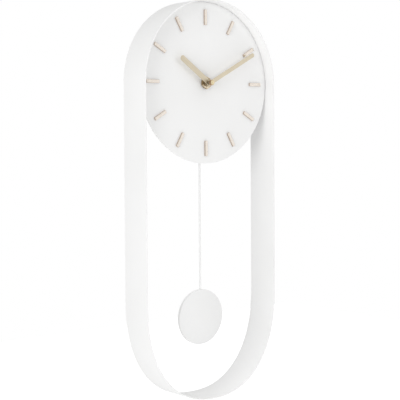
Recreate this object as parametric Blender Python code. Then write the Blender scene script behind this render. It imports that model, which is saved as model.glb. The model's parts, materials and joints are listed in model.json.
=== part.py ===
"""Pendulum wall clock: a steel ribbon bent to a loop, a recessed round dial, a quartz
movement with its going train and motion work, and a free-swinging pendulum.

Metres, +Z up, +Y into the wall. The origin is the seat of the keyhole, on the wall plane,
so the clock hangs from (0, 0, 0) and the band's back edge lies on y = 0.
The clock faces -Y. Depths (y) are written as constants; the dial's centre is at CENTRE_Z.
"""
import math

import bmesh
import bpy
from mathutils import Matrix, Vector

MM = 0.001
GAP = 0.3 * MM
PLAY = 0.1 * MM
TURN = 2 * math.pi

# ---- the band -------------------------------------------------------------------------
BAND_WIDTH = 205 * MM
BAND_DEPTH = 45 * MM
BAND_THICKNESS = 1.5 * MM
BAND_BOTTOM_HEIGHT = 126.3 * MM
BAND_BOTTOM_POWER = 2.25
CENTRE_Z = -55 * MM
TOP_ARC_Z = CENTRE_Z - 0.3 * MM
BOTTOM_ARC_Z = CENTRE_Z - 266.6 * MM
FRONT_Y = -BAND_DEPTH

# ---- the dial -------------------------------------------------------------------------
DIAL_RADIUS = 100.2 * MM
DIAL_FRONT_Y = FRONT_Y + 15 * MM
DIAL_THICKNESS = 1.5 * MM
DIAL_BACK_Y = DIAL_FRONT_Y + DIAL_THICKNESS
BUSH_HOLE_RADIUS = 4.2 * MM
MARKER_RING_RADIUS = 81.3 * MM
MARKER_LENGTH = 19 * MM
MARKER_WIDTH = 4 * MM
MARKER_HEIGHT = 1.5 * MM
MARKER_EDGE = 0.5 * MM

# ---- the hands, a little after ten past ten --------------------------------------------
MINUTE_ANGLE = math.radians(62)
HOUR_ANGLE = math.radians(-54.8)
MINUTE_LENGTH = 80.6 * MM
MINUTE_WIDTH = 5.2 * MM
MINUTE_HUB = 3.8 * MM
MINUTE_COLLET = 2.6 * MM
MINUTE_Y = -41.2 * MM
HOUR_LENGTH = 53.3 * MM
HOUR_WIDTH = 6.9 * MM
HOUR_HUB = 3.9 * MM
HOUR_COLLET = 3.2 * MM
HOUR_Y = -37.4 * MM
HAND_THICKNESS = 0.6 * MM
ARBOR_RADIUS = 0.8 * MM
HOUR_TUBE_RADIUS = 2.3 * MM
ARBOR_PASSAGE = 1.0 * MM
CAP_RADIUS = 3.4 * MM
CAP_HEIGHT = 2.9 * MM
CAP_DEPTH = 1.2 * MM
CAP_EDGE = 0.5 * MM

# ---- the fixing of the movement in the dial -------------------------------------------
BUSH_RADIUS = 3.9 * MM
BUSH_BORE = 2.6 * MM
BUSH_TIP_Y = -34.4 * MM
BUSH_ROOM = 0.15 * MM
WASHER_THICKNESS = 0.8 * MM
RUBBER_RADIUS = 10 * MM
WASHER_RADIUS = 6.7 * MM
NUT_FLATS = 12 * MM
NUT_HEIGHT = 2.2 * MM

# ---- the movement's case --------------------------------------------------------------
CASE_LEFT, CASE_RIGHT = -30 * MM, 30 * MM
CASE_BOTTOM, CASE_TOP = -58 * MM, 32.5 * MM
CASE_FRONT_Y = -26.9 * MM
CASE_SPLIT_Y = -18.5 * MM
CASE_BACK_Y = -9.9 * MM
CASE_WALL = 1.2 * MM
CASE_CORNER = 4 * MM
INSIDE_FRONT_Y = CASE_FRONT_Y + CASE_WALL
INSIDE_BACK_Y = CASE_BACK_Y - CASE_WALL
SHELF_Z = 13.7 * MM
SCREW_SPOTS = [(-25.5 * MM, 10 * MM), (25.5 * MM, -53.5 * MM)]
SCREW_SHANK = 0.75 * MM
SCREW_BOSS = 2.2 * MM
PILOT_FRONT_Y = -21 * MM
SLOT_HALF_WIDTH, SLOT_HALF_DEPTH = 8 * MM, 4 * MM
BRIDGE_FRONT_Y = -12.4 * MM

# ---- wheels: module, teeth and the depths that each toothed disc fills -----------------
MOTION_MODULE = 0.45 * MM
TRAIN_MODULE = 0.25 * MM
ROTOR_MODULE = 0.20 * MM
CANNON_TEETH, MINUTE_WHEEL_TEETH = 10, 30
MINUTE_PINION_TEETH, HOUR_WHEEL_TEETH = 8, 32
KNOB_TEETH = 12
CENTRE_TEETH, THIRD_TEETH, FOURTH_TEETH, INTERMEDIATE_TEETH = 64, 60, 40, 48
PINION_TEETH = 8
HOUR_WHEEL_Y = (-25.2 * MM, -24.0 * MM)
MINUTE_WHEEL_Y = (-23.4 * MM, -22.2 * MM)
CENTRE_WHEEL_Y = (-21.6 * MM, -20.9 * MM)
THIRD_WHEEL_Y = (-20.2 * MM, -19.5 * MM)
FOURTH_WHEEL_Y = (-18.7 * MM, -18.0 * MM)
INTERMEDIATE_WHEEL_Y = (-17.4 * MM, -16.7 * MM)
TRAIN_ARBOR = 0.45 * MM
ARBOR_END_Y = -11.7 * MM
PIVOT_END_Y = -26.2 * MM
BEARING_DEPTH = 0.7 * MM
LEAF_LAP = 0.2 * MM
STEM_RADIUS = 1.0 * MM
KNOB_RADIUS = 6.2 * MM
KNOB_FLUTE = 0.5 * MM
KNOB_HEIGHT = 3.9 * MM

# ---- the stepping motor ----------------------------------------------------------------
MAGNET_RADIUS = 3.0 * MM
MAGNET_Y = (-16.0 * MM, -13.4 * MM)
STATOR_Y = (-15.3 * MM, -14.5 * MM)
STATOR_HOLE = 3.6 * MM
COIL_Y, COIL_Z = -13.7 * MM, -16.8 * MM
COIL_X = (-21.2 * MM, -7.8 * MM)

# ---- battery, board --------------------------------------------------------------------
BATTERY_RADIUS = 7.1 * MM
BATTERY_X = (-25.0 * MM, 24.2 * MM)
BATTERY_Y, BATTERY_Z = -18.3 * MM, 23.0 * MM
BOARD_Y = (-24.2 * MM, -23.2 * MM)

# ---- the pendulum ----------------------------------------------------------------------
ROD_Y = FRONT_Y + 27.5 * MM
ROD_RADIUS = 1.25 * MM
PIVOT_Z = CENTRE_Z - 32 * MM
HANGER_HOLE_Z = CENTRE_Z - 66 * MM
HANGER_HOLE_RADIUS = 2.1 * MM
LEVER_Y = (ROD_Y - 1.2 * MM, ROD_Y + 0.9 * MM)
LEVER_EYE = 3.6 * MM
HOOK_SQUASH = 0.75
MAGNET_SPOT_Z = CENTRE_Z - 48 * MM
BOB_Z = CENTRE_Z - 293.7 * MM
BOB_RADIUS = 34.7 * MM
BOB_RIM = 2.1 * MM
BOB_DOME = 5.2 * MM
BOB_SKIN = 0.8 * MM
PIN_RADIUS = 0.75 * MM

# ---- hanging and dial fixing -----------------------------------------------------------
PLATE = 1.5 * MM
HANGER_Y = (-3.0 * MM, -3.0 * MM + PLATE)
HANGER_BOTTOM, HANGER_TOP = -19 * MM, 12 * MM
HANGER_FLANGE_FRONT_Y = -16 * MM
KEYHOLE_SLOT = 2.5 * MM
KEYHOLE_HEAD = 5.5 * MM
KEYHOLE_DROP = 9 * MM
STUD_RING = 90 * MM
STUD_RADIUS = 1.5 * MM
STUD_LENGTH = 5.5 * MM
STUD_NUT_FLATS = 5.5 * MM
STUD_NUT_HEIGHT = 2.4 * MM
BRACKET_WIDTH = 14 * MM
BRACKET_DEPTH = 12 * MM
BRACKET_FOOT = 6 * MM

WHITE_STEEL = ("white_powder_coat", (0.86, 0.86, 0.85), 0.0, 0.55)
GOLD = ("champagne_gold", (0.66, 0.56, 0.42), 1.0, 0.32)
BRASS = ("brass", (0.66, 0.47, 0.20), 1.0, 0.28)
STEEL = ("bare_steel", (0.60, 0.60, 0.62), 1.0, 0.35)
BLACK_PLASTIC = ("black_plastic", (0.03, 0.03, 0.035), 0.0, 0.5)
WHITE_PLASTIC = ("natural_plastic", (0.80, 0.79, 0.74), 0.0, 0.45)
RUBBER = ("black_rubber", (0.02, 0.02, 0.02), 0.0, 0.8)
COPPER = ("enamelled_copper", (0.62, 0.25, 0.10), 1.0, 0.35)
GREEN_BOARD = ("circuit_board", (0.03, 0.20, 0.08), 0.0, 0.5)
FERRITE = ("magnet", (0.10, 0.10, 0.11), 0.6, 0.45)
BATTERY_WRAP = ("battery_wrap", (0.10, 0.16, 0.30), 0.2, 0.4)
ZINC = ("cast_zinc", (0.35, 0.35, 0.36), 0.8, 0.6)


def clear_scene():
    for item in list(bpy.data.objects):
        bpy.data.objects.remove(item, do_unlink=True)


def material(finish):
    name, colour, metallic, roughness = finish
    found = bpy.data.materials.get(name)
    if found:
        return found
    made = bpy.data.materials.new(name)
    made.use_nodes = True
    shader = made.node_tree.nodes["Principled BSDF"]
    shader.inputs["Base Color"].default_value = (*colour, 1.0)
    shader.inputs["Metallic"].default_value = metallic
    shader.inputs["Roughness"].default_value = roughness
    made.diffuse_color = (*colour, 1.0)
    return made


def add_object(name, points, faces, finish, origin=(0, 0, 0)):
    """One closed mesh from world points, with its origin at a chosen world point."""
    origin = Vector(origin)
    mesh = bpy.data.meshes.new(name)
    mesh.from_pydata([Vector(p) - origin for p in points], [], faces)
    work = bmesh.new()
    work.from_mesh(mesh)
    bmesh.ops.recalc_face_normals(work, faces=work.faces)
    work.to_mesh(mesh)
    work.free()
    mesh.materials.append(material(finish))
    mesh.shade_smooth()
    mesh.set_sharp_from_angle(angle=math.radians(32))
    item = bpy.data.objects.new(name, mesh)
    item.location = origin
    bpy.context.scene.collection.objects.link(item)
    return item


def combine(target, other, operation):
    """Join a helper solid to the target, or cut it away, and hide the helper."""
    other.hide_render = True
    other.display_type = "WIRE"
    other.name = target.name + "_helper"
    step = target.modifiers.new(operation.lower(), "BOOLEAN")
    step.operation = operation
    step.solver = "EXACT"
    step.object = other


def join(target, *others):
    for other in others:
        combine(target, other, "UNION")
    return target


def cut(target, *others):
    for other in others:
        combine(target, other, "DIFFERENCE")
    return target


# ---- solids ----------------------------------------------------------------------------
def prism(name, outline, depths, finish=STEEL, origin=(0, 0, 0)):
    """An outline of (x, z) points pushed from one depth to another along Y."""
    count = len(outline)
    points = [(x, y, z) for y in depths for x, z in outline]
    sides = [(i, (i + 1) % count, count + (i + 1) % count, count + i) for i in range(count)]
    caps = [tuple(range(count)), tuple(range(2 * count - 1, count - 1, -1))]
    return add_object(name, points, sides + caps, finish, origin)


def ring_prism(name, outer, inner, depths, finish=STEEL, origin=(0, 0, 0)):
    """A flat ring between two (x, z) outlines that have the same number of points."""
    count = len(outer)
    loops = [(x, y, z) for outline, y in ((outer, depths[0]), (outer, depths[1]),
                                          (inner, depths[1]), (inner, depths[0]))
             for x, z in outline]
    faces = [(a * count + i, a * count + (i + 1) % count,
              (a + 1) % 4 * count + (i + 1) % count, (a + 1) % 4 * count + i)
             for a in range(4) for i in range(count)]
    return add_object(name, loops, faces, finish, origin)


def turned(name, profile, centre, finish=STEEL, segments=24, axis="Y", origin=None):
    """A profile of (radius, distance along the axis) points turned about an axis.

    A profile that starts and ends on the axis closes itself; any other is a closed loop.
    """
    turns = {"Y": Matrix.Identity(3),
             "X": Matrix(((0, 1, 0), (1, 0, 0), (0, 0, 1))),
             "Z": Matrix(((1, 0, 0), (0, 0, 1), (0, 1, 0)))}
    centre = Vector(centre)
    on_axis = profile[0][0] == 0 and profile[-1][0] == 0
    points, rings = [], []
    for radius, distance in profile:
        steps = 1 if radius == 0 else segments
        rings.append([len(points) + i for i in range(steps)])
        for i in range(steps):
            angle = TURN * (i + 0.5) / segments
            local = Vector((radius * math.cos(angle), distance, radius * math.sin(angle)))
            points.append(centre + turns[axis] @ local)
    pairs = list(zip(rings, rings[1:])) + ([] if on_axis else [(rings[-1], rings[0])])
    faces = []
    for first, second in pairs:
        for i in range(segments):
            j = (i + 1) % segments
            if len(first) == 1:
                faces.append((first[0], second[j], second[i]))
            elif len(second) == 1:
                faces.append((first[i], first[j], second[0]))
            else:
                faces.append((first[i], first[j], second[j], second[i]))
    return add_object(name, points, faces, finish, centre if origin is None else origin)


def rod(name, x, z, depths, radius, finish=STEEL, segments=12, origin=None):
    """A plain cylinder along Y."""
    profile = [(0, depths[0]), (radius, depths[0]), (radius, depths[1]), (0, depths[1])]
    return turned(name, profile, (x, 0, z), finish, segments, "Y", origin)


def tube(name, x, z, depths, bore, radius, finish=STEEL, segments=16, origin=None):
    """A round tube along Y."""
    profile = [(bore, depths[0]), (radius, depths[0]), (radius, depths[1]), (bore, depths[1])]
    return turned(name, profile, (x, 0, z), finish, segments, "Y", origin)


def box(name, low, high, finish=STEEL):
    outline = [(low[0], low[2]), (high[0], low[2]), (high[0], high[2]), (low[0], high[2])]
    return prism(name, outline, (low[1], high[1]), finish)


# ---- outlines --------------------------------------------------------------------------
def arc(x, z, radius, start, end, steps):
    """Points on an arc about (x, z), angles in radians from +X towards +Z."""
    angles = [start + (end - start) * i / steps for i in range(steps + 1)]
    return [(x + radius * math.cos(a), z + radius * math.sin(a)) for a in angles]


def rounded_box(left, right, bottom, top, radius, steps=4):
    corners = ((right - radius, top - radius, 0), (left + radius, top - radius, 1),
               (left + radius, bottom + radius, 2), (right - radius, bottom + radius, 3))
    points = []
    for x, z, quarter in corners:
        points += arc(x, z, radius, quarter * TURN / 4, (quarter + 1) * TURN / 4, steps)
    return points


def band_outline(inset, steps=44):
    """The loop seen from the front: a half circle, two straights, and a fuller lower arc."""
    half = BAND_WIDTH / 2 - inset
    drop = BAND_BOTTOM_HEIGHT - inset
    points = arc(0, TOP_ARC_Z, half, 0, TURN / 2, steps)
    for i in range(steps + 1):
        angle = TURN / 2 + TURN / 2 * i / steps
        across, down = math.cos(angle), -math.sin(angle)
        power = 2 / BAND_BOTTOM_POWER
        x = math.copysign(abs(across) ** power, across) * half
        points.append((x, BOTTOM_ARC_Z - max(down, 0.0) ** power * drop))
    return points


def hand_outline(length, width, hub, angle, steps=10):
    """A round hub that runs into a bar with a round tip, turned clockwise by the angle."""
    half = width / 2
    reach = math.asin(half / hub)
    tip = arc(0, length - half, half, 0, TURN / 2, steps)
    around = arc(0, 0, hub, TURN / 4 + reach, TURN / 4 + TURN - reach, 2 * steps)
    spin = Matrix.Rotation(-angle, 2)
    turned_points = [spin @ Vector(p) for p in tip + around]
    return [(p.x, p.y + CENTRE_Z) for p in turned_points]


def gear_outline(teeth, module, x, z, phase, pinion=False):
    """A wheel's or a pinion's teeth. A tooth stands at the angle phase, in radians.

    Wheels have short straight-flanked teeth. Pinions have narrow leaves, whose flanks run
    straight at the axis, as in clockwork, so that they clear the wheel at every angle.
    """
    pitch = teeth * module / 2
    step = TURN / teeth
    if pinion:
        shape = ((-1.25, 0.15), (0.0, 0.16), (0.65, 0.06))
    else:
        shape = ((-1.15, 0.25), (0.85, 0.06))
    points = []
    for tooth in range(teeth):
        middle = phase + tooth * step
        flank = [(pitch + rise * module, half * step) for rise, half in shape]
        both = [(r, middle - half) for r, half in flank]
        both += [(r, middle + half) for r, half in reversed(flank)]
        points += [(x + r * math.cos(a), z + r * math.sin(a)) for r, a in both]
    return points


def meshed_phase(phase, teeth, other_teeth, direction):
    """The phase that puts the other gear's gap against this gear's teeth."""
    return (direction + TURN / 2 - (phase - direction) * teeth / other_teeth
            - TURN / 2 / other_teeth)


def step_from(place, distance, degrees):
    angle = math.radians(degrees)
    return (place[0] + distance * math.cos(angle), place[1] + distance * math.sin(angle))


def pitch_distance(module, first, second):
    return module * (first + second) / 2


# ---- where each arbor stands, as (x, z) ------------------------------------------------
CENTRE = (0.0, CENTRE_Z)
THIRD_DIRECTION, FOURTH_DIRECTION = 200, 150
INTERMEDIATE_DIRECTION, ROTOR_DIRECTION = 230, 275
MINUTE_DIRECTION, KNOB_DIRECTION = -20, -15
THIRD = step_from(CENTRE, pitch_distance(TRAIN_MODULE, CENTRE_TEETH, PINION_TEETH),
                  THIRD_DIRECTION)
FOURTH = step_from(THIRD, pitch_distance(TRAIN_MODULE, THIRD_TEETH, PINION_TEETH),
                   FOURTH_DIRECTION)
INTERMEDIATE = step_from(FOURTH, pitch_distance(TRAIN_MODULE, FOURTH_TEETH, PINION_TEETH),
                         INTERMEDIATE_DIRECTION)
ROTOR = step_from(INTERMEDIATE,
                  pitch_distance(ROTOR_MODULE, INTERMEDIATE_TEETH, PINION_TEETH),
                  ROTOR_DIRECTION)
MINUTE_WHEEL = step_from(CENTRE,
                         pitch_distance(MOTION_MODULE, CANNON_TEETH, MINUTE_WHEEL_TEETH),
                         MINUTE_DIRECTION)
KNOB = step_from(MINUTE_WHEEL,
                 pitch_distance(MOTION_MODULE, MINUTE_WHEEL_TEETH, KNOB_TEETH),
                 KNOB_DIRECTION)


# ---- frame and dial --------------------------------------------------------------------
def make_band():
    ring_prism("band_frame", band_outline(0), band_outline(BAND_THICKNESS), (FRONT_Y, 0),
               WHITE_STEEL)


def make_hanger_bar():
    """A strip across the back, its ends shaped to the band and folded forward onto it."""
    reach = BAND_WIDTH / 2 - BAND_THICKNESS - GAP
    low = math.asin((HANGER_BOTTOM - TOP_ARC_Z) / reach)
    high = math.asin((HANGER_TOP - TOP_ARC_Z) / reach)
    right = arc(0, TOP_ARC_Z, reach, low, high, 5)
    left = [(-x, z) for x, z in reversed(right)]
    bar = prism("hanger_bar", right + left, HANGER_Y, WHITE_STEEL)
    for side in (1, -1):
        edge = arc(0, TOP_ARC_Z, reach, low, high, 5)
        edge += arc(0, TOP_ARC_Z, reach - PLATE, high, low, 5)
        outline = [(side * x, z) for x, z in edge]
        join(bar, prism("flange", outline, (HANGER_FLANGE_FRONT_Y, HANGER_Y[1])))
    mouth = arc(0, -KEYHOLE_DROP, KEYHOLE_HEAD, 0, TURN, 24)[:-1]
    slot = arc(0, 0, KEYHOLE_SLOT, 0, TURN / 2, 10)
    slot += [(-KEYHOLE_SLOT, -KEYHOLE_DROP), (KEYHOLE_SLOT, -KEYHOLE_DROP)]
    through = (HANGER_Y[0] - PLATE, HANGER_Y[1] + PLATE)
    cut(bar, prism("mouth", mouth, through), prism("slot", slot, through))


def make_dial():
    """The dial disc, with its two welded studs standing out of the back."""
    dial = tube("dial_plate", 0, CENTRE_Z, (DIAL_FRONT_Y, DIAL_BACK_Y), BUSH_HOLE_RADIUS,
                DIAL_RADIUS, WHITE_STEEL, 96)
    for side in (-1, 1):
        join(dial, rod("stud", side * STUD_RING, CENTRE_Z,
                       (DIAL_BACK_Y - PLATE / 2, DIAL_BACK_Y + STUD_LENGTH), STUD_RADIUS))


def make_marker(hour):
    """A flat-faced bar with softened edges, standing on the dial, pointing at its centre."""
    angle = hour * TURN / 12
    back = DIAL_FRONT_Y - GAP
    half = MARKER_WIDTH / 2
    shoulder = arc(half - MARKER_EDGE, MARKER_HEIGHT - MARKER_EDGE, MARKER_EDGE, 0, TURN / 4, 2)
    section = [(half, 0), *shoulder, *[(-x, rise) for x, rise in reversed(shoulder)], (-half, 0)]
    section = [(x, back - rise) for x, rise in section]
    spin = Matrix.Rotation(angle, 3, "Y")
    points = []
    for reach in (-MARKER_LENGTH / 2, MARKER_LENGTH / 2):
        for x, y in section:
            place = spin @ Vector((x, y, MARKER_RING_RADIUS + reach))
            points.append(place + Vector((0, 0, CENTRE_Z)))
    count = len(section)
    faces = [(i, (i + 1) % count, count + (i + 1) % count, count + i) for i in range(count)]
    faces += [tuple(range(count)), tuple(range(2 * count - 1, count - 1, -1))]
    add_object("hour_marker_%02d" % hour, points, faces, GOLD)


def make_dial_bracket(name, side):
    """An angle welded inside the band; the dial's stud passes through its foot."""
    reach = BAND_WIDTH / 2 - BAND_THICKNESS - GAP
    front = DIAL_BACK_Y + GAP
    bottom, top = CENTRE_Z - BRACKET_WIDTH / 2, CENTRE_Z + BRACKET_WIDTH / 2
    inner = reach - PLATE
    bracket = box(name, (side * inner, front, bottom),
                  (side * reach, front + BRACKET_DEPTH, top), STEEL)
    foot = box("foot", (side * (STUD_RING - BRACKET_FOOT), front, bottom),
               (side * (inner + PLATE / 2), front + PLATE, top))
    join(bracket, foot)
    cut(bracket, rod("hole", side * STUD_RING, CENTRE_Z, (front - PLATE, front + 3 * PLATE),
                     STUD_RADIUS + 0.3 * MM))


def hex_nut(name, x, z, depths, flats, bore, finish, steps=24):
    """A six-sided nut: the outer outline's radius grows towards each corner."""
    outer = []
    for i in range(steps):
        angle = TURN * i / steps
        off = (angle + TURN / 12) % (TURN / 6) - TURN / 12
        radius = flats / 2 / math.cos(off)
        outer.append((x + radius * math.cos(angle), z + radius * math.sin(angle)))
    inner = arc(x, z, bore, 0, TURN, steps)[:-1]
    return ring_prism(name, outer, inner, depths, finish)


def make_dial_fixings():
    back = DIAL_BACK_Y + GAP + PLATE + GAP
    for name, side in (("left", -1), ("right", 1)):
        make_dial_bracket("dial_bracket_" + name, side)
        hex_nut("dial_nut_" + name, side * STUD_RING, CENTRE_Z,
                (back, back + STUD_NUT_HEIGHT), STUD_NUT_FLATS, STUD_RADIUS + PLAY, STEEL, 12)


# ---- hands and the nut that holds the movement -----------------------------------------
def make_hands():
    half = HAND_THICKNESS / 2
    hour = prism("hour_hand", hand_outline(HOUR_LENGTH, HOUR_WIDTH, HOUR_HUB, HOUR_ANGLE),
                 (HOUR_Y - half, HOUR_Y + half), GOLD, (0, 0, CENTRE_Z))
    join(hour, rod("collet", *CENTRE, (HOUR_Y, HOUR_Y + 1.2 * MM), HOUR_COLLET, segments=24))
    cut(hour, rod("bore", *CENTRE, (HOUR_Y - MM, HOUR_Y + 3 * MM),
                  HOUR_TUBE_RADIUS + PLAY, segments=24))
    minute = prism("minute_hand",
                   hand_outline(MINUTE_LENGTH, MINUTE_WIDTH, MINUTE_HUB, MINUTE_ANGLE),
                   (MINUTE_Y - half, MINUTE_Y + half), GOLD, (0, 0, CENTRE_Z))
    join(minute, rod("collet", *CENTRE, (MINUTE_Y, MINUTE_Y + 1.5 * MM), MINUTE_COLLET,
                     segments=20))
    cut(minute, rod("bore", *CENTRE, (MINUTE_Y - MM, MINUTE_Y + 3 * MM),
                    ARBOR_RADIUS + PLAY, segments=16))


def make_cap_nut():
    back = MINUTE_Y - HAND_THICKNESS / 2 - 0.2 * MM
    bore = ARBOR_RADIUS + PLAY
    profile = [(0, back - CAP_HEIGHT), (CAP_RADIUS * 0.7, back - CAP_HEIGHT + CAP_EDGE / 4),
               (CAP_RADIUS * 0.93, back - CAP_HEIGHT + CAP_EDGE),
               (CAP_RADIUS, back - CAP_HEIGHT + CAP_EDGE * 2), (CAP_RADIUS, back), (bore, back),
               (bore, back - CAP_DEPTH), (0, back - CAP_DEPTH)]
    turned("hand_cap_nut", profile, (0, 0, CENTRE_Z), GOLD, 24)


def make_bush_fixings():
    tube("threaded_bush", *CENTRE, (BUSH_TIP_Y, INSIDE_FRONT_Y), BUSH_BORE, BUSH_RADIUS,
         BRASS, 24)
    washer_front = DIAL_FRONT_Y - GAP - WASHER_THICKNESS
    tube("bush_washer", *CENTRE, (washer_front, DIAL_FRONT_Y - GAP), BUSH_RADIUS + BUSH_ROOM,
         WASHER_RADIUS, BRASS, 28)
    hex_nut("bush_nut", *CENTRE, (washer_front - GAP - NUT_HEIGHT, washer_front - GAP),
            NUT_FLATS, BUSH_RADIUS + PLAY, BRASS)
    tube("rubber_washer", *CENTRE, (DIAL_BACK_Y + GAP, CASE_FRONT_Y - GAP),
         BUSH_RADIUS + BUSH_ROOM, RUBBER_RADIUS, RUBBER, 28)


# ---- movement case ---------------------------------------------------------------------
def case_outline(inset):
    return rounded_box(CASE_LEFT + inset, CASE_RIGHT - inset, CENTRE_Z + CASE_BOTTOM + inset,
                       CENTRE_Z + CASE_TOP - inset, CASE_CORNER - inset)


def hanger_slot():
    """The opening in the case's floor that the lever swings through."""
    floor = CENTRE_Z + CASE_BOTTOM
    return box("slot", (-SLOT_HALF_WIDTH, ROD_Y - SLOT_HALF_DEPTH, floor - CASE_WALL),
               (SLOT_HALF_WIDTH, ROD_Y + SLOT_HALF_DEPTH, floor + 2 * CASE_WALL))


def make_front_case():
    """The front shell: a tray with screw bosses, a battery shelf and a pivot boss."""
    shell = prism("movement_front_case", case_outline(0), (CASE_FRONT_Y, CASE_SPLIT_Y),
                  BLACK_PLASTIC)
    cut(shell, prism("hollow", case_outline(CASE_WALL),
                     (INSIDE_FRONT_Y, CASE_SPLIT_Y + CASE_WALL)))
    shelf = CENTRE_Z + SHELF_Z
    inside = CASE_WALL / 2
    join(shell, box("shelf", (CASE_LEFT + CASE_WALL + GAP, CASE_FRONT_Y + inside, shelf),
                    (27 * MM, INSIDE_BACK_Y - GAP, shelf + 1 * MM)))
    for x, z in SCREW_SPOTS:
        join(shell, rod("boss", x, CENTRE_Z + z, (CASE_FRONT_Y + inside,
                                                  INSIDE_BACK_Y - GAP), SCREW_BOSS))
        cut(shell, rod("pilot", x, CENTRE_Z + z, (PILOT_FRONT_Y, CASE_BACK_Y),
                       SCREW_SHANK + PLAY))
    join(shell, rod("pivot_boss", 0, PIVOT_Z, (CASE_FRONT_Y + inside, -20.2 * MM), 2.1 * MM,
                    segments=14))
    cut(shell, rod("pivot_seat", 0, PIVOT_Z, (-24.5 * MM, CASE_SPLIT_Y),
                   PIN_RADIUS + PLAY))
    cut(shell, rod("bush_hole", *CENTRE, (CASE_FRONT_Y - MM, INSIDE_FRONT_Y + MM),
                   BUSH_RADIUS + BUSH_ROOM, segments=24), hanger_slot())
    for place in (THIRD, FOURTH, INTERMEDIATE, ROTOR, MINUTE_WHEEL, KNOB):
        cut(shell, rod("bearing", *place, (INSIDE_FRONT_Y - BEARING_DEPTH, INSIDE_FRONT_Y + MM),
                       TRAIN_ARBOR + PLAY))


def make_rear_cover():
    """The rear shell, with an open battery bay and holes for the knob and the screws."""
    cover = prism("movement_rear_cover", case_outline(0), (CASE_SPLIT_Y + GAP, CASE_BACK_Y),
                  BLACK_PLASTIC)
    cut(cover, prism("hollow", case_outline(CASE_WALL), (CASE_SPLIT_Y - CASE_WALL,
                                                         INSIDE_BACK_Y)))
    bay = rounded_box(-27 * MM, 27 * MM, CENTRE_Z + SHELF_Z + 1.6 * MM,
                      CENTRE_Z + CASE_TOP - 2.4 * MM, 1.5 * MM, 3)
    wall = (INSIDE_BACK_Y - MM, CASE_BACK_Y + MM)
    cut(cover, prism("bay", bay, wall), hanger_slot())
    cut(cover, rod("knob_hole", *KNOB, wall, STEM_RADIUS + GAP, segments=16))
    for x, z in SCREW_SPOTS:
        cut(cover, rod("screw_hole", x, CENTRE_Z + z, wall, SCREW_SHANK + 0.25 * MM))
    join(cover, rod("pivot_boss", 0, PIVOT_Z, (-15.4 * MM, CASE_BACK_Y - CASE_WALL / 2),
                    2 * MM))
    cut(cover, rod("pivot_seat", 0, PIVOT_Z, (-18 * MM, -12 * MM), PIN_RADIUS + PLAY))


def make_case_screws():
    head = CASE_BACK_Y + PLAY
    profile = [(0, head + 1.2 * MM), (1.3 * MM, head + 1.1 * MM), (1.9 * MM, head + 0.6 * MM),
               (1.9 * MM, head), (SCREW_SHANK, head), (SCREW_SHANK, PILOT_FRONT_Y + 1 * MM),
               (0, PILOT_FRONT_Y + 0.5 * MM)]
    for name, (x, z) in zip(("upper", "lower"), SCREW_SPOTS):
        turned("case_screw_" + name, profile, (x, 0, CENTRE_Z + z), STEEL, 12)


def make_bridge():
    """The plate that carries the rear ends of the arbors."""
    outline = rounded_box(-27 * MM, 22.5 * MM, CENTRE_Z - 13.2 * MM, CENTRE_Z + 12 * MM,
                          2 * MM, 2)
    bridge = prism("train_bridge", outline, (BRIDGE_FRONT_Y, INSIDE_BACK_Y - 0.2 * MM),
                   WHITE_PLASTIC)
    through = (BRIDGE_FRONT_Y - MM, INSIDE_BACK_Y + MM)
    for place in (THIRD, FOURTH, INTERMEDIATE, ROTOR, MINUTE_WHEEL):
        cut(bridge, rod("bearing", *place, through, TRAIN_ARBOR + PLAY))
    cut(bridge, rod("centre_bearing", *CENTRE, through, ARBOR_RADIUS + PLAY))
    cut(bridge, rod("knob_bearing", *KNOB, through, STEM_RADIUS + PLAY))
    boss_x, boss_z = SCREW_SPOTS[0]
    cut(bridge, rod("boss_room", boss_x, CENTRE_Z + boss_z, through, SCREW_BOSS + 0.4 * MM))


# ---- wheels ----------------------------------------------------------------------------
def wheel(name, teeth, module, place, phase, depths, finish=WHITE_PLASTIC):
    return prism(name, gear_outline(teeth, module, *place, phase), depths, finish,
                 (place[0], 0, place[1]))


def pinion(name, teeth, module, place, phase, depths, finish=STEEL):
    return prism(name, gear_outline(teeth, module, *place, phase, True), depths, finish,
                 (place[0], 0, place[1]))


def pinion_depths(depths):
    return (depths[0] - LEAF_LAP, depths[1] + LEAF_LAP)


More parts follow.
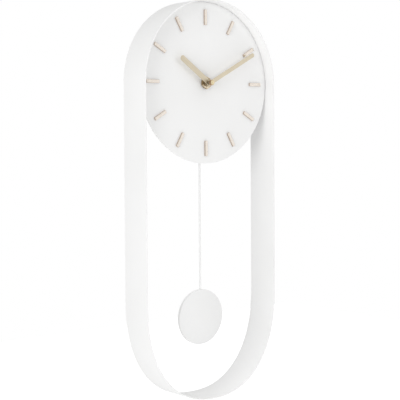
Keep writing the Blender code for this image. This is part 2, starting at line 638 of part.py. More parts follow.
def make_motion_work():
    """Cannon pinion and minute arbor, minute wheel, hour wheel, and the setting knob."""
    direction = math.radians(MINUTE_DIRECTION)
    cannon_phase = 0.0
    minute_phase = meshed_phase(cannon_phase, CANNON_TEETH, MINUTE_WHEEL_TEETH, direction)
    leaf_phase = 0.0
    hour_phase = meshed_phase(leaf_phase, MINUTE_PINION_TEETH, HOUR_WHEEL_TEETH,
                              direction + TURN / 2)
    knob_phase = meshed_phase(minute_phase, MINUTE_WHEEL_TEETH, KNOB_TEETH,
                              math.radians(KNOB_DIRECTION))

    cannon = pinion("cannon_pinion", CANNON_TEETH, MOTION_MODULE, CENTRE, cannon_phase,
                    pinion_depths(MINUTE_WHEEL_Y))
    join(cannon, rod("arbor", *CENTRE, (MINUTE_Y - 1.5 * MM, ARBOR_END_Y), ARBOR_RADIUS,
                     segments=16))

    middle = wheel("minute_wheel", MINUTE_WHEEL_TEETH, MOTION_MODULE, MINUTE_WHEEL,
                   minute_phase, MINUTE_WHEEL_Y)
    leaves = pinion("leaves", MINUTE_PINION_TEETH, MOTION_MODULE, MINUTE_WHEEL, leaf_phase,
                    (HOUR_WHEEL_Y[0] - PLAY, MINUTE_WHEEL_Y[0] + 0.4 * MM))
    join(middle, leaves, rod("arbor", *MINUTE_WHEEL, (PIVOT_END_Y, ARBOR_END_Y), TRAIN_ARBOR))

    hour = wheel("hour_wheel", HOUR_WHEEL_TEETH, MOTION_MODULE, CENTRE, hour_phase,
                 HOUR_WHEEL_Y, BRASS)
    join(hour, rod("pipe", *CENTRE, (HOUR_Y - 0.9 * MM, HOUR_WHEEL_Y[0] + 0.5 * MM),
                   HOUR_TUBE_RADIUS, segments=24))
    cut(hour, rod("bore", *CENTRE, (HOUR_Y - 2 * MM, HOUR_WHEEL_Y[1] + 2 * MM), ARBOR_PASSAGE,
                  segments=16))

    stem = pinion("setting_pinion", KNOB_TEETH, MOTION_MODULE, KNOB, knob_phase,
                  MINUTE_WHEEL_Y, WHITE_PLASTIC)
    join(stem, rod("stem", *KNOB, (MINUTE_WHEEL_Y[0] + 0.4 * MM, CASE_BACK_Y + 3.4 * MM),
                   STEM_RADIUS),
         rod("pivot", *KNOB, (PIVOT_END_Y, MINUTE_WHEEL_Y[0] + 0.4 * MM), TRAIN_ARBOR))


def make_setting_knob():
    """A finger wheel with a fluted rim, pressed onto the setting stem."""
    count = 24
    outline = []
    for i in range(2 * count):
        radius = KNOB_RADIUS - i % 2 * KNOB_FLUTE
        outline += arc(*KNOB, radius, TURN * i / (2 * count), TURN, 1)[:1]
    knob = prism("setting_knob", outline, (CASE_BACK_Y + 0.5 * MM, CASE_BACK_Y + 0.5 * MM + KNOB_HEIGHT),
                 BLACK_PLASTIC, (KNOB[0], 0, KNOB[1]))
    cut(knob, rod("socket", *KNOB, (CASE_BACK_Y, CASE_BACK_Y + 3.6 * MM), STEM_RADIUS + PLAY))


def make_going_train():
    """Rotor, intermediate, fourth, third and centre wheels, each in mesh with the next."""
    third_phase = meshed_phase(0.0, CENTRE_TEETH, PINION_TEETH, math.radians(THIRD_DIRECTION))
    fourth_phase = meshed_phase(0.0, THIRD_TEETH, PINION_TEETH, math.radians(FOURTH_DIRECTION))
    next_phase = meshed_phase(0.0, FOURTH_TEETH, PINION_TEETH,
                              math.radians(INTERMEDIATE_DIRECTION))
    rotor_phase = meshed_phase(0.0, INTERMEDIATE_TEETH, PINION_TEETH,
                               math.radians(ROTOR_DIRECTION))

    centre = wheel("centre_wheel", CENTRE_TEETH, TRAIN_MODULE, CENTRE, 0.0, CENTRE_WHEEL_Y,
                   BRASS)
    cut(centre, rod("bore", *CENTRE, (CENTRE_WHEEL_Y[0] - MM, CENTRE_WHEEL_Y[1] + MM),
                    ARBOR_PASSAGE, segments=16))

    stages = (("third_wheel", THIRD_TEETH, THIRD, THIRD_WHEEL_Y, third_phase, CENTRE_WHEEL_Y),
              ("fourth_wheel", FOURTH_TEETH, FOURTH, FOURTH_WHEEL_Y, fourth_phase,
               THIRD_WHEEL_Y))
    for name, teeth, place, depths, leaf_phase, leaf_depths in stages:
        disc = wheel(name, teeth, TRAIN_MODULE, place, 0.0, depths)
        leaves = pinion("leaves", PINION_TEETH, TRAIN_MODULE, place, leaf_phase,
                        (leaf_depths[0] - LEAF_LAP, depths[0] + LEAF_LAP))
        join(disc, leaves, rod("arbor", *place, (PIVOT_END_Y, ARBOR_END_Y), TRAIN_ARBOR))

    disc = wheel("intermediate_wheel", INTERMEDIATE_TEETH, ROTOR_MODULE, INTERMEDIATE, 0.0,
                 INTERMEDIATE_WHEEL_Y)
    leaves = pinion("leaves", PINION_TEETH, TRAIN_MODULE, INTERMEDIATE, next_phase,
                    (FOURTH_WHEEL_Y[0] - LEAF_LAP, INTERMEDIATE_WHEEL_Y[0] + LEAF_LAP))
    join(disc, leaves, rod("arbor", *INTERMEDIATE, (PIVOT_END_Y, ARBOR_END_Y), TRAIN_ARBOR))

    leaves = pinion("rotor_pinion", PINION_TEETH, ROTOR_MODULE, ROTOR, rotor_phase,
                    (INTERMEDIATE_WHEEL_Y[0] - LEAF_LAP, MAGNET_Y[0] - PLAY),
                    WHITE_PLASTIC)
    join(leaves, rod("arbor", *ROTOR, (PIVOT_END_Y, ARBOR_END_Y), TRAIN_ARBOR))
    tube("rotor_magnet", *ROTOR, MAGNET_Y, TRAIN_ARBOR + PLAY, MAGNET_RADIUS, FERRITE, 20)


# ---- stepping motor --------------------------------------------------------------------
def make_motor():
    def spots(pairs):
        return [(x * MM, CENTRE_Z + z * MM) for x, z in pairs]
    outline = spots(((-25.4, -4.6), (-13.5, -4.6), (-3.5, -11.5), (-3.5, -18.4), (-7, -18.4),
                     (-7, -13.1), (-22, -13.1), (-22, -18.4), (-25.4, -18.4)))
    stator = prism("stator", outline[::-1], STATOR_Y, STEEL)
    cut(stator, rod("eye", *ROTOR, (STATOR_Y[0] - MM, STATOR_Y[1] + MM), STATOR_HOLE,
                    segments=24))
    left, right = COIL_X
    coil_z = CENTRE_Z + COIL_Z
    box("coil_core", (-25.2 * MM, COIL_Y - 0.4 * MM, coil_z - 0.8 * MM),
        (-3.7 * MM, COIL_Y + 0.4 * MM, coil_z + 0.8 * MM), STEEL)
    spool = [(0.95, left), (2.35, left), (2.35, left + 0.8 * MM), (1.25, left + 0.8 * MM),
             (1.25, right - 0.8 * MM), (2.35, right - 0.8 * MM), (2.35, right), (0.95, right)]
    spool = [(radius * MM, x) for radius, x in spool]
    turned("coil_bobbin", spool, (0, COIL_Y, coil_z), WHITE_PLASTIC, 16, "X")
    winding = [(1.35 * MM, left + 0.9 * MM), (2.2 * MM, left + 0.9 * MM),
               (2.2 * MM, right - 0.9 * MM), (1.35 * MM, right - 0.9 * MM)]
    turned("coil_winding", winding, (0, COIL_Y, coil_z), COPPER, 20, "X")


# ---- battery, contacts and board -------------------------------------------------------
def make_battery():
    left, right = BATTERY_X
    profile = [(0, left), (BATTERY_RADIUS - 0.6 * MM, left), (BATTERY_RADIUS, left + 0.6 * MM),
               (BATTERY_RADIUS, right - 0.8 * MM), (BATTERY_RADIUS - 0.8 * MM, right),
               (2.6 * MM, right), (2.6 * MM, right + 1.2 * MM), (0, right + 1.2 * MM)]
    turned("battery_cell", profile, (0, BATTERY_Y, CENTRE_Z + BATTERY_Z), BATTERY_WRAP, 28,
           "X")


def strip(name, route, depths, thickness=0.35 * MM):
    """A bent strip: a route of (x, z) points given a thickness, pushed along Y."""
    near, far = [], []
    for i, point in enumerate(route):
        before = Vector(route[max(i - 1, 0)])
        after = Vector(route[min(i + 1, len(route) - 1)])
        along = (after - before).normalized()
        side = Vector((-along.y, along.x)) * thickness / 2
        near.append(tuple(Vector(point) + side))
        far.append(tuple(Vector(point) - side))
    return prism(name, near + far[::-1], depths, STEEL)


def make_contacts():
    """A flat spring at the cap end and a bowed one at the flat end, each with a tail."""
    def spots(pairs):
        return [(x * MM, CENTRE_Z + z * MM) for x, z in pairs]
    strip("battery_contact_plus",
          spots(((26.1, 27.5), (26.1, 19.5), (26.8, 17.6), (28.1, 16.6), (28.2, 14), (28.2, 0),
                 (28.2, -19))),
          (BATTERY_Y - 2.5 * MM, BATTERY_Y + 2.5 * MM))
    strip("battery_contact_minus",
          spots(((-28.2, 28.5), (-26.9, 26.5), (-25.5, 23.5), (-25.5, 22.5), (-26.9, 19.5),
                 (-28.2, 17.5), (-28.2, 15.2))),
          (BATTERY_Y - 3 * MM, BATTERY_Y + 3 * MM))


def make_board():
    """The board with its bonded chip, and the crystal that lies on it."""
    low, high = CENTRE_Z - 29 * MM, CENTRE_Z - 15 * MM
    board = box("circuit_board", (-27 * MM, BOARD_Y[0], low), (27 * MM, BOARD_Y[1], high),
                GREEN_BOARD)
    profile = [(0, 10 * MM), (1.0 * MM, 10 * MM), (1.0 * MM, 16 * MM), (0, 16 * MM)]
    crystal_y = BOARD_Y[1] + GAP + 1.0 * MM
    turned("quartz_crystal", profile, (0, crystal_y, CENTRE_Z - 19 * MM), STEEL, 14, "X")
    base, top = BOARD_Y[0] + 0.5 * MM, BOARD_Y[1] + 1.1 * MM
    dome = [(0, base), (3.0 * MM, base), (3.0 * MM, top - 0.8 * MM), (2.3 * MM, top - 0.3 * MM),
            (1.0 * MM, top), (0, top)]
    join(board, turned("chip", dome, (-8 * MM, 0, CENTRE_Z - 24 * MM), BLACK_PLASTIC, 16))


# ---- pendulum --------------------------------------------------------------------------
def make_drive():
    tube("drive_coil", 0, MAGNET_SPOT_Z, (-25.4 * MM, -22.8 * MM), 3 * MM, 8 * MM, COPPER, 28)
    rod("pendulum_pivot_pin", 0, PIVOT_Z, (-24.3 * MM, -12.2 * MM), PIN_RADIUS, STEEL, 14)


def make_hanger():
    """The lever that hangs on the pivot pin, carries the magnet and takes the rod's hook."""
    arm, pad = 2.5 * MM, 6.0 * MM
    side = math.asin(arm / pad)
    pivot = (0, 0, PIVOT_Z)
    outline = arc(0, PIVOT_Z, 3.2 * MM, math.radians(-38), math.radians(218), 12)
    outline += arc(0, MAGNET_SPOT_Z, pad, TURN / 4 + side, TURN * 3 / 4 - side, 8)
    outline += arc(0, HANGER_HOLE_Z, LEVER_EYE, math.radians(132), math.radians(408), 12)
    outline += arc(0, MAGNET_SPOT_Z, pad, -TURN / 4 + side, TURN / 4 - side, 8)
    lever = prism("pendulum_hanger", outline, LEVER_Y, WHITE_PLASTIC, pivot)
    through = (LEVER_Y[0] - MM, LEVER_Y[1] + MM)
    cut(lever, rod("bore", 0, PIVOT_Z, through, PIN_RADIUS + 0.12 * MM, segments=16),
        rod("hook_hole", 0, HANGER_HOLE_Z, through, HANGER_HOLE_RADIUS, segments=20))
    rod("hanger_magnet", 0, MAGNET_SPOT_Z, (LEVER_Y[0] - 2.2 * MM, LEVER_Y[0] - 0.2 * MM),
        4.5 * MM, FERRITE, 24, pivot)


def make_rod():
    """A wire whose top is bent to a hook through the lever's eye."""
    seat = HANGER_HOLE_Z - HANGER_HOLE_RADIUS + ROD_RADIUS + 0.2 * MM
    reach = ROD_RADIUS + 0.35 * MM
    front, back = LEVER_Y[0] - reach, LEVER_Y[1] + reach
    middle, half = (back + front) / 2, (back - front) / 2
    shoulder = seat - half * HOOK_SQUASH
    route = [(ROD_Y, BOB_Z - 14 * MM), (ROD_Y, HANGER_HOLE_Z - 12 * MM),
             (ROD_Y + 0.5 * MM, HANGER_HOLE_Z - 10.5 * MM),
             (back - 0.4 * MM, HANGER_HOLE_Z - 7.6 * MM), (back, HANGER_HOLE_Z - 6 * MM)]
    route += [(y, shoulder + (z - shoulder) * HOOK_SQUASH)
              for y, z in arc(middle, shoulder, half, 0, TURN / 2, 10)]
    route += [(front, shoulder - 1.6 * MM)]
    curve = bpy.data.curves.new("pendulum_rod", "CURVE")
    curve.dimensions = "3D"
    curve.bevel_depth = ROD_RADIUS
    curve.bevel_resolution = 3
    curve.use_fill_caps = True
    spline = curve.splines.new("POLY")
    spline.points.add(len(route) - 1)
    for point, (y, z) in zip(spline.points, route):
        point.co = (0, y, z - PIVOT_Z, 1)
    curve.materials.append(material(WHITE_STEEL))
    item = bpy.data.objects.new("pendulum_rod", curve)
    item.location = (0, 0, PIVOT_Z)
    bpy.context.scene.collection.objects.link(item)


def make_bob():
    """Two domed shells, crimped rim to rim, over a cast weight that grips the rod."""
    ring = 3
    for name, side in (("bob_front_shell", -1), ("bob_rear_shell", 1)):
        seam = ROD_Y + side * 0.15 * MM
        outer, inner = [], []
        for i in range(ring + 1):
            share = i / ring
            outer.append((BOB_RADIUS * 0.985 * share,
                          ROD_Y + side * (BOB_RIM + BOB_DOME * (1 - share ** 2))))
            inner.append(((BOB_RADIUS - BOB_SKIN) * 0.985 * share,
                          ROD_Y + side * (BOB_RIM + BOB_DOME * (1 - share ** 2) - BOB_SKIN)))
        rim = [(BOB_RADIUS, ROD_Y + side * BOB_RIM * 0.6), (BOB_RADIUS, seam),
               (BOB_RADIUS - BOB_SKIN, seam)]
        shell = turned(name, outer + rim + inner[::-1], (0, 0, BOB_Z), WHITE_STEEL, 40,
                       origin=(0, 0, PIVOT_Z))
        notch = [(0, BOB_RADIUS - 4 * MM), (ROD_RADIUS + 0.15 * MM, BOB_RADIUS - 4 * MM),
                 (ROD_RADIUS + 0.15 * MM, BOB_RADIUS + 3 * MM), (0, BOB_RADIUS + 3 * MM)]
        cut(shell, turned("notch", notch, (0, ROD_Y, BOB_Z), STEEL, 12, "Z"))
    weight = rod("bob_weight", 0, BOB_Z, (ROD_Y - 4.4 * MM, ROD_Y + 4.4 * MM), 19 * MM, ZINC,
                 28, (0, 0, PIVOT_Z))
    bore = [(0, -15 * MM), (ROD_RADIUS + PLAY, -15 * MM),
            (ROD_RADIUS + PLAY, 24 * MM), (0, 24 * MM)]
    cut(weight, turned("bore", bore, (0, ROD_Y, BOB_Z), STEEL, 12, "Z"))


def build():
    clear_scene()
    make_band()
    make_hanger_bar()
    make_dial()
    for hour in range(1, 13):
        make_marker(hour)
    make_dial_fixings()
    make_hands()
    make_cap_nut()
    make_bush_fixings()
    make_front_case()
    make_rear_cover()
    make_case_screws()
    make_bridge()
    make_motion_work()
    make_setting_knob()
    make_going_train()
    make_motor()
    make_battery()
    make_contacts()
    make_board()
    make_drive()
    make_hanger()
    make_rod()
    make_bob()


build()
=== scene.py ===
"""Looks for the pendulum wall clock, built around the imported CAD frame.

Metres, +Z up, and the clock faces -Y. Each new piece is made where its CAD node lies, rides on
the same body and stands for that node. Nodes whose shape is right as it is keep their mesh and
get a material.
"""

import json
import math

import bmesh
import bpy
from mathutils import Matrix, Vector


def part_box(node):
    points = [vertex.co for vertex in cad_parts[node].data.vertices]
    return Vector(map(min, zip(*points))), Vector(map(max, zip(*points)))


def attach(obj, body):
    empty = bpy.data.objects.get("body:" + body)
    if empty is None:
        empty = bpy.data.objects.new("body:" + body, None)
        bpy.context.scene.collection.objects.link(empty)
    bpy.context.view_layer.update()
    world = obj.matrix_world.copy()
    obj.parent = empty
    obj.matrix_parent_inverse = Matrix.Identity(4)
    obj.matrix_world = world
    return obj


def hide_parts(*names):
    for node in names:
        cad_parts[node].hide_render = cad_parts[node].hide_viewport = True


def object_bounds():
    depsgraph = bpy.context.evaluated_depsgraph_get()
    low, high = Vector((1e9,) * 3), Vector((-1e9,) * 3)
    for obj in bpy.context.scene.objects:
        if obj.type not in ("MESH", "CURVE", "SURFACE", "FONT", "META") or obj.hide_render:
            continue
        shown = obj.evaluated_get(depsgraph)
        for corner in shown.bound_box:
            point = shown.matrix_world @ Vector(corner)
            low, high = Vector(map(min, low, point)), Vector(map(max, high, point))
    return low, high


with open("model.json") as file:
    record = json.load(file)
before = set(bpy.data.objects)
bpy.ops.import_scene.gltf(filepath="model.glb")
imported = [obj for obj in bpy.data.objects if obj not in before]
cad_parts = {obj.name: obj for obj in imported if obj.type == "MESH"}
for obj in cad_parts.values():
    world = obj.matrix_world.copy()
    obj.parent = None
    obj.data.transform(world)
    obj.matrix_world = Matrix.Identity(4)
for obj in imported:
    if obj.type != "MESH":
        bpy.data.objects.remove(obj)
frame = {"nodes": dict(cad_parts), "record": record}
cad_box = [list(corner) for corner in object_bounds()]

MM = 0.001
TURN = math.tau
scene = bpy.context.scene
record = frame["record"]
BODY_OF = {node: body for body, nodes in record["behaviour"]["bodies"].items()
           for node in nodes}


def middle(node):
    low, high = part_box(node)
    return (low + high) / 2


def depths(node):
    low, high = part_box(node)
    return low.y, high.y


SHEET = 1.5 * MM
CENTRE_Z = middle("dial_plate").z
CENTRE = (0.0, 0.0, CENTRE_Z)
DIAL_FRONT = depths("dial_plate")[0]
DIAL_BACK = DIAL_FRONT + SHEET
STUD_X = 90 * MM
HOUR_ANGLE, MINUTE_ANGLE = math.radians(-54.8), math.radians(62)


# ---- materials -------------------------------------------------------------------------
class Look:
    """A Principled material with a few short ways of adding procedural nodes."""

    def __init__(self, name, colour, roughness, metallic=0.0, **sockets):
        self.material = bpy.data.materials.new(name)
        self.material.use_nodes = True
        self.tree = self.material.node_tree
        self.shader = self.tree.nodes["Principled BSDF"]
        self.set("Base Color", (*colour, 1.0))
        self.set("Roughness", roughness)
        self.set("Metallic", metallic)
        self.material.diffuse_color = (*colour, 1.0)
        for socket, value in sockets.items():
            self.set(socket.replace("_", " "), value)
        self.normal = None

    def set(self, socket, value):
        self.shader.inputs[socket].default_value = value

    def node(self, kind, inputs=None, **settings):
        made = self.tree.nodes.new("ShaderNode" + kind)
        for key, value in settings.items():
            setattr(made, key, value)
        for key, value in (inputs or {}).items():
            if isinstance(value, bpy.types.NodeSocket):
                self.tree.links.new(value, made.inputs[key])
            else:
                made.inputs[key].default_value = value
        return made

    def place(self, stretch=(1, 1, 1), turn=(0, 0, 0), shift=(0, 0, 0)):
        """The piece's own coordinates in metres, turned, then stretched."""
        found = self.node("TexCoord").outputs["Object"]
        moved = self.node("Mapping", {"Vector": found, "Rotation": turn, "Location": shift})
        return self.node("Mapping", {"Vector": moved.outputs[0],
                                     "Scale": stretch}).outputs[0]

    def noise(self, where, scale, detail=2.0, rough=0.5):
        return self.node("TexNoise", {"Vector": where, "Scale": scale, "Detail": detail,
                                      "Roughness": rough}).outputs["Fac"]

    def maths(self, operation, first, second=0.0):
        return self.node("Math", {0: first, 1: second}, operation=operation).outputs[0]

    def ramp(self, value, stops, interpolation="LINEAR"):
        made = self.node("ValToRGB", {"Fac": value})
        made.color_ramp.interpolation = interpolation
        ends = made.color_ramp.elements
        while len(ends) < len(stops):
            ends.new(0.5)
        for end, (spot, colour) in zip(ends, stops):
            end.position, end.color = spot, (*colour, 1.0)
        return made.outputs["Color"]

    def range(self, value, low, high, start=0.0, end=1.0):
        return self.node("MapRange", {"Value": value, "From Min": start, "From Max": end,
                                      "To Min": low, "To Max": high}).outputs[0]

    def blend(self, share, first, second):
        made = self.node("Mix", data_type="RGBA")
        for key, value in ((0, share), (6, first), (7, second)):
            if isinstance(value, bpy.types.NodeSocket):
                self.tree.links.new(value, made.inputs[key])
            else:
                made.inputs[key].default_value = value if key == 0 else (*value, 1.0)
        return made.outputs[2]

    def painted_side_shade(self):
        """0 on faces that lie square to the clock's depth, 1 on the sides between them, where
        painted shade goes.
        """
        facing = self.node("SeparateXYZ",
                           {"Vector": self.node("NewGeometry").outputs["Normal"]})
        square = self.maths("ABSOLUTE", facing.outputs["Y"])
        return self.range(square, 0.0, 1.0, start=0.97, end=0.55)

    def relief(self, height, strength, depth):
        inputs = {"Height": height, "Strength": strength, "Distance": depth}
        if self.normal:
            inputs["Normal"] = self.normal
        self.normal = self.node("Bump", inputs).outputs[0]
        self.link(self.normal, "Normal")

    def link(self, output, socket):
        self.tree.links.new(output, self.shader.inputs[socket])


def powder_coat():
    """Fine matt powder coat: a faint orange peel, with a very slight drift in tone."""
    look = Look("powder_coat", (0.86, 0.86, 0.855), 0.5)
    drift = look.noise(look.place(), 14.0, 3.0)
    grain = look.noise(look.place(), 1500.0, 2.0)
    tone = look.maths("ADD", look.maths("MULTIPLY", drift, 0.75),
                      look.maths("MULTIPLY", grain, 0.25))
    look.link(look.ramp(tone, [(0.3, (0.845, 0.845, 0.84)), (0.7, (0.875, 0.875, 0.872))]),
              "Base Color")
    look.link(look.range(grain, 0.46, 0.58), "Roughness")
    look.relief(look.noise(look.place(), 620.0, 2.0), 0.12, 0.05 * MM)
    look.relief(grain, 0.10, 0.02 * MM)
    return look.material


def marker_gold():
    """Plated bars: the polished face is pale, and the sides get a deeper rose-gold painted shade.
    """
    look = Look("marker_gold", (0.84, 0.77, 0.69), 0.18, 1.0)
    drift = look.noise(look.place(), 260.0, 2.0)
    face = look.ramp(drift, [(0.3, (0.82, 0.75, 0.67)), (0.7, (0.88, 0.81, 0.73))])
    # The side colour is painted shade: a darker tone standing in for the sides' darker
    # reflections.
    side = look.ramp(drift, [(0.3, (0.64, 0.52, 0.43)), (0.7, (0.72, 0.60, 0.50))])
    look.link(look.blend(look.painted_side_shade(), face, side), "Base Color")
    look.link(look.range(look.noise(look.place(), 900.0), 0.12, 0.24), "Roughness")
    look.relief(look.noise(look.place(), 2200.0), 0.05, 0.01 * MM)
    return look.material


def hand_gold(name, turn):
    """Matt champagne gold with a fine grain along the hand."""
    look = Look(name, (0.62, 0.54, 0.41), 0.5, 1.0)
    grain = look.noise(look.place((9000, 9000, 260), (0, -turn, 0)), 1.0, 2.0)
    drift = look.noise(look.place(), 70.0, 2.0)
    tone = look.maths("ADD", look.maths("MULTIPLY", grain, 0.4),
                      look.maths("MULTIPLY", drift, 0.6))
    look.link(look.ramp(tone, [(0.3, (0.70, 0.625, 0.48)), (0.7, (0.78, 0.70, 0.55))]),
              "Base Color")
    look.link(look.range(grain, 0.42, 0.58), "Roughness")
    look.relief(grain, 0.12, 0.01 * MM)
    return look.material


def turned_metal(name, dark, light, side, roughness, centre):
    """Metal turned on a lathe, with rings about an axis along Y and painted shade on its sides."""
    look = Look(name, light, roughness, 1.0)
    where = look.node("TexCoord").outputs["Object"]
    spot = look.node("VectorMath", {0: where, 1: centre}, operation="SUBTRACT").outputs[0]
    flat = look.node("VectorMath", {0: spot, 1: (1, 0, 1)}, operation="MULTIPLY").outputs[0]
    reach = look.node("VectorMath", {0: flat}, operation="LENGTH").outputs["Value"]
    rings = look.node("TexNoise", {"W": look.maths("MULTIPLY", reach, 9000.0), "Scale": 1.0},
                      noise_dimensions="1D").outputs["Fac"]
    drift = look.noise(look.place(), 420.0, 3.0)
    face = look.ramp(drift, [(0.35, dark), (0.65, light)])
    # The side colour is painted shade, blended in where the surface turns away from the front.
    look.link(look.blend(look.painted_side_shade(), face, side), "Base Color")
    look.link(look.range(rings, roughness - 0.06, roughness + 0.10), "Roughness")
    look.relief(rings, 0.15, 0.01 * MM)
    return look.material


def zinc_plate():
    """Zinc-plated steel, with the faint spangle and tint of its passivation."""
    look = Look("zinc_plate", (0.62, 0.62, 0.63), 0.32, 1.0)
    spangle = look.node("TexVoronoi", {"Vector": look.place(), "Scale": 700.0})
    tint = look.noise(look.place(), 120.0, 3.0)
    look.link(look.ramp(tint, [(0.3, (0.55, 0.56, 0.60)), (0.5, (0.64, 0.64, 0.63)),
                               (0.7, (0.66, 0.63, 0.55))]), "Base Color")
    look.link(look.range(spangle.outputs["Distance"], 0.26, 0.42), "Roughness")
    look.relief(look.noise(look.place((1, 1, 12)), 900.0), 0.1, 0.01 * MM)
    return look.material


def moulded(name, low, high, roughness, grain_scale, depth, **sockets):
    """Moulded plastic: an even fine grain over a slow drift of flow marks."""
    middle_tone = [(a + b) / 2 for a, b in zip(low, high)]
    look = Look(name, middle_tone, roughness, **sockets)
    drift = look.noise(look.place((1, 1, 2.5)), 45.0, 3.0)
    grain = look.noise(look.place(), grain_scale, 2.0, 0.65)
    look.link(look.ramp(drift, [(0.3, low), (0.7, high)]), "Base Color")
    look.link(look.range(grain, roughness - 0.08, roughness + 0.10), "Roughness")
    look.relief(grain, 0.35, depth)
    return look.material


def winding(name, along_x):
    """Enamelled copper wire laid side by side in layers, with painted shade between the turns."""
    look = Look(name, (0.62, 0.25, 0.10), 0.3, 1.0)
    if along_x:
        turns = look.node("TexWave", {"Vector": look.place(), "Scale": 2400.0,
                                      "Distortion": 0.4}, wave_type="BANDS",
                          bands_direction="X").outputs["Fac"]
    else:
        centre = middle("drive_coil")
        moved = look.place(shift=(-centre.x, 0, -centre.z))
        turns = look.node("TexWave", {"Vector": moved, "Scale": 2400.0}, wave_type="RINGS",
                          rings_direction="Y").outputs["Fac"]
    # The dark end of the ramp is painted shade in the grooves between the turns.
    look.link(look.ramp(turns, [(0.1, (0.26, 0.08, 0.03)), (0.6, (0.66, 0.28, 0.12))]),
              "Base Color")
    look.link(look.range(turns, 0.45, 0.24), "Roughness")
    look.relief(turns, 0.6, 0.03 * MM)
    return look.material


def board_mask():
    """Green solder mask over copper tracks, with tinned pads where the tracks end."""
    look = Look("board_mask", (0.03, 0.20, 0.08), 0.32)
    tracks = look.node("TexBrick", {"Vector": look.place(turn=(math.radians(90), 0, 0)),
                                    "Scale": 160.0, "Mortar Size": 0.05},
                       offset=0.37).outputs["Fac"]
    pads = look.node("TexVoronoi", {"Vector": look.place(), "Scale": 260.0},
                     distance="CHEBYCHEV").outputs["Distance"]
    share = look.range(pads, 1.0, 0.0, 0.10, 0.13)
    mask = look.blend(tracks, (0.022, 0.16, 0.055), (0.05, 0.30, 0.11))
    look.link(look.blend(share, mask, (0.72, 0.70, 0.66)), "Base Color")
    look.link(share, "Metallic")
    look.relief(tracks, 0.3, 0.03 * MM)
    return look.material


def sintered(name, low, high, roughness, metallic):
    """Ferrite or cast metal, with pores and a rough skin."""
    look = Look(name, high, roughness, metallic)
    pores = look.node("TexVoronoi", {"Vector": look.place(), "Scale": 900.0})
    skin = look.noise(look.place(), 520.0, 4.0, 0.6)
    look.link(look.ramp(skin, [(0.3, low), (0.7, high)]), "Base Color")
    look.link(look.range(pores.outputs["Distance"], roughness - 0.1, roughness + 0.15),
              "Roughness")
    look.relief(skin, 0.5, 0.05 * MM)
    return look.material


def battery_wrap():
    """A plain shrink wrap: dark blue body, a pale band at one end, and bare steel ends."""
    look = Look("battery_wrap", (0.08, 0.15, 0.33), 0.28)
    low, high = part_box("battery_cell")
    span = look.node("SeparateXYZ", {"Vector": look.node("TexCoord").outputs["Object"]})
    share = look.range(span.outputs["X"], 0.0, 1.0, low.x, high.x)
    steel, blue, pale = (0.62, 0.62, 0.63), (0.05, 0.12, 0.30), (0.70, 0.72, 0.74)
    wrap_start, wrap_end = 0.022, 0.955
    look.link(look.ramp(share, [(0.0, steel), (wrap_start, blue), (0.70, pale), (0.725, blue),
                                (0.75, pale), (wrap_end, steel)], "CONSTANT"), "Base Color")
    bare = look.maths("ADD", look.maths("LESS_THAN", share, wrap_start),
                      look.maths("GREATER_THAN", share, wrap_end))
    look.link(bare, "Metallic")
    scuff = look.noise(look.place((1, 4, 4)), 160.0, 4.0)
    look.link(look.range(scuff, 0.2, 0.4), "Roughness")
    look.relief(scuff, 0.06, 0.03 * MM)
    return look.material


WHITE = powder_coat()
MARKER = marker_gold()
# In each turned metal the third colour is the painted shade on the sides, darker than the face.
BRASS = turned_metal("turned_brass", (0.54, 0.43, 0.29), (0.84, 0.74, 0.58),
                     (0.36, 0.25, 0.13), 0.24, CENTRE)
CAP = turned_metal("cap_gold", (0.70, 0.58, 0.37), (0.82, 0.71, 0.47), (0.46, 0.27, 0.15),
                   0.22, CENTRE)
ZINC = zinc_plate()
BLACK = moulded("black_moulding", (0.020, 0.020, 0.022), (0.034, 0.034, 0.037), 0.52, 1700.0,
                0.03 * MM)
ACETAL = moulded("acetal", (0.76, 0.75, 0.70), (0.84, 0.83, 0.78), 0.38, 900.0, 0.01 * MM,
                 Subsurface_Weight=0.12, Subsurface_Scale=0.002)
RUBBER = moulded("rubber", (0.015, 0.015, 0.015), (0.03, 0.03, 0.03), 0.8, 1300.0, 0.04 * MM)


# ---- solids: each is a list of points and a list of faces --------------------------------
def loft(loops, ring=False, caps=True):
    """A skin over closed loops of equally many points, with capped ends or joined as a ring."""
    count = len(loops[0])
    points = [Vector(p) for loop in loops for p in loop]
    last = len(loops) if ring else len(loops) - 1
    faces = []
    for a in range(last):
        b = (a + 1) % len(loops)
        for i in range(count):
            j = (i + 1) % count
            faces.append((a * count + i, a * count + j, b * count + j, b * count + i))
    if caps and not ring:
        faces.append(tuple(range(count)))
        faces.append(tuple(range((len(loops) - 1) * count, len(loops) * count)))
    return points, faces


def lathe(profile, centre, axis="Y", segments=64):
    """A profile of (radius, distance) turned about an axis; open ends must lie on the axis."""
    turns = {"Y": Matrix.Identity(3),
             "X": Matrix(((0, 1, 0), (1, 0, 0), (0, 0, 1))),
             "Z": Matrix(((1, 0, 0), (0, 0, 1), (0, 1, 0)))}
    centre = Vector(centre)
    loops = []
    for radius, distance in profile:
        loops.append([centre + turns[axis] @ Vector((radius * math.cos(a), distance,
                                                     radius * math.sin(a)))
                      for a in (TURN * i / segments for i in range(segments))])
    closed = not (profile[0][0] == 0 and profile[-1][0] == 0)
    return loft(loops, ring=closed, caps=False)


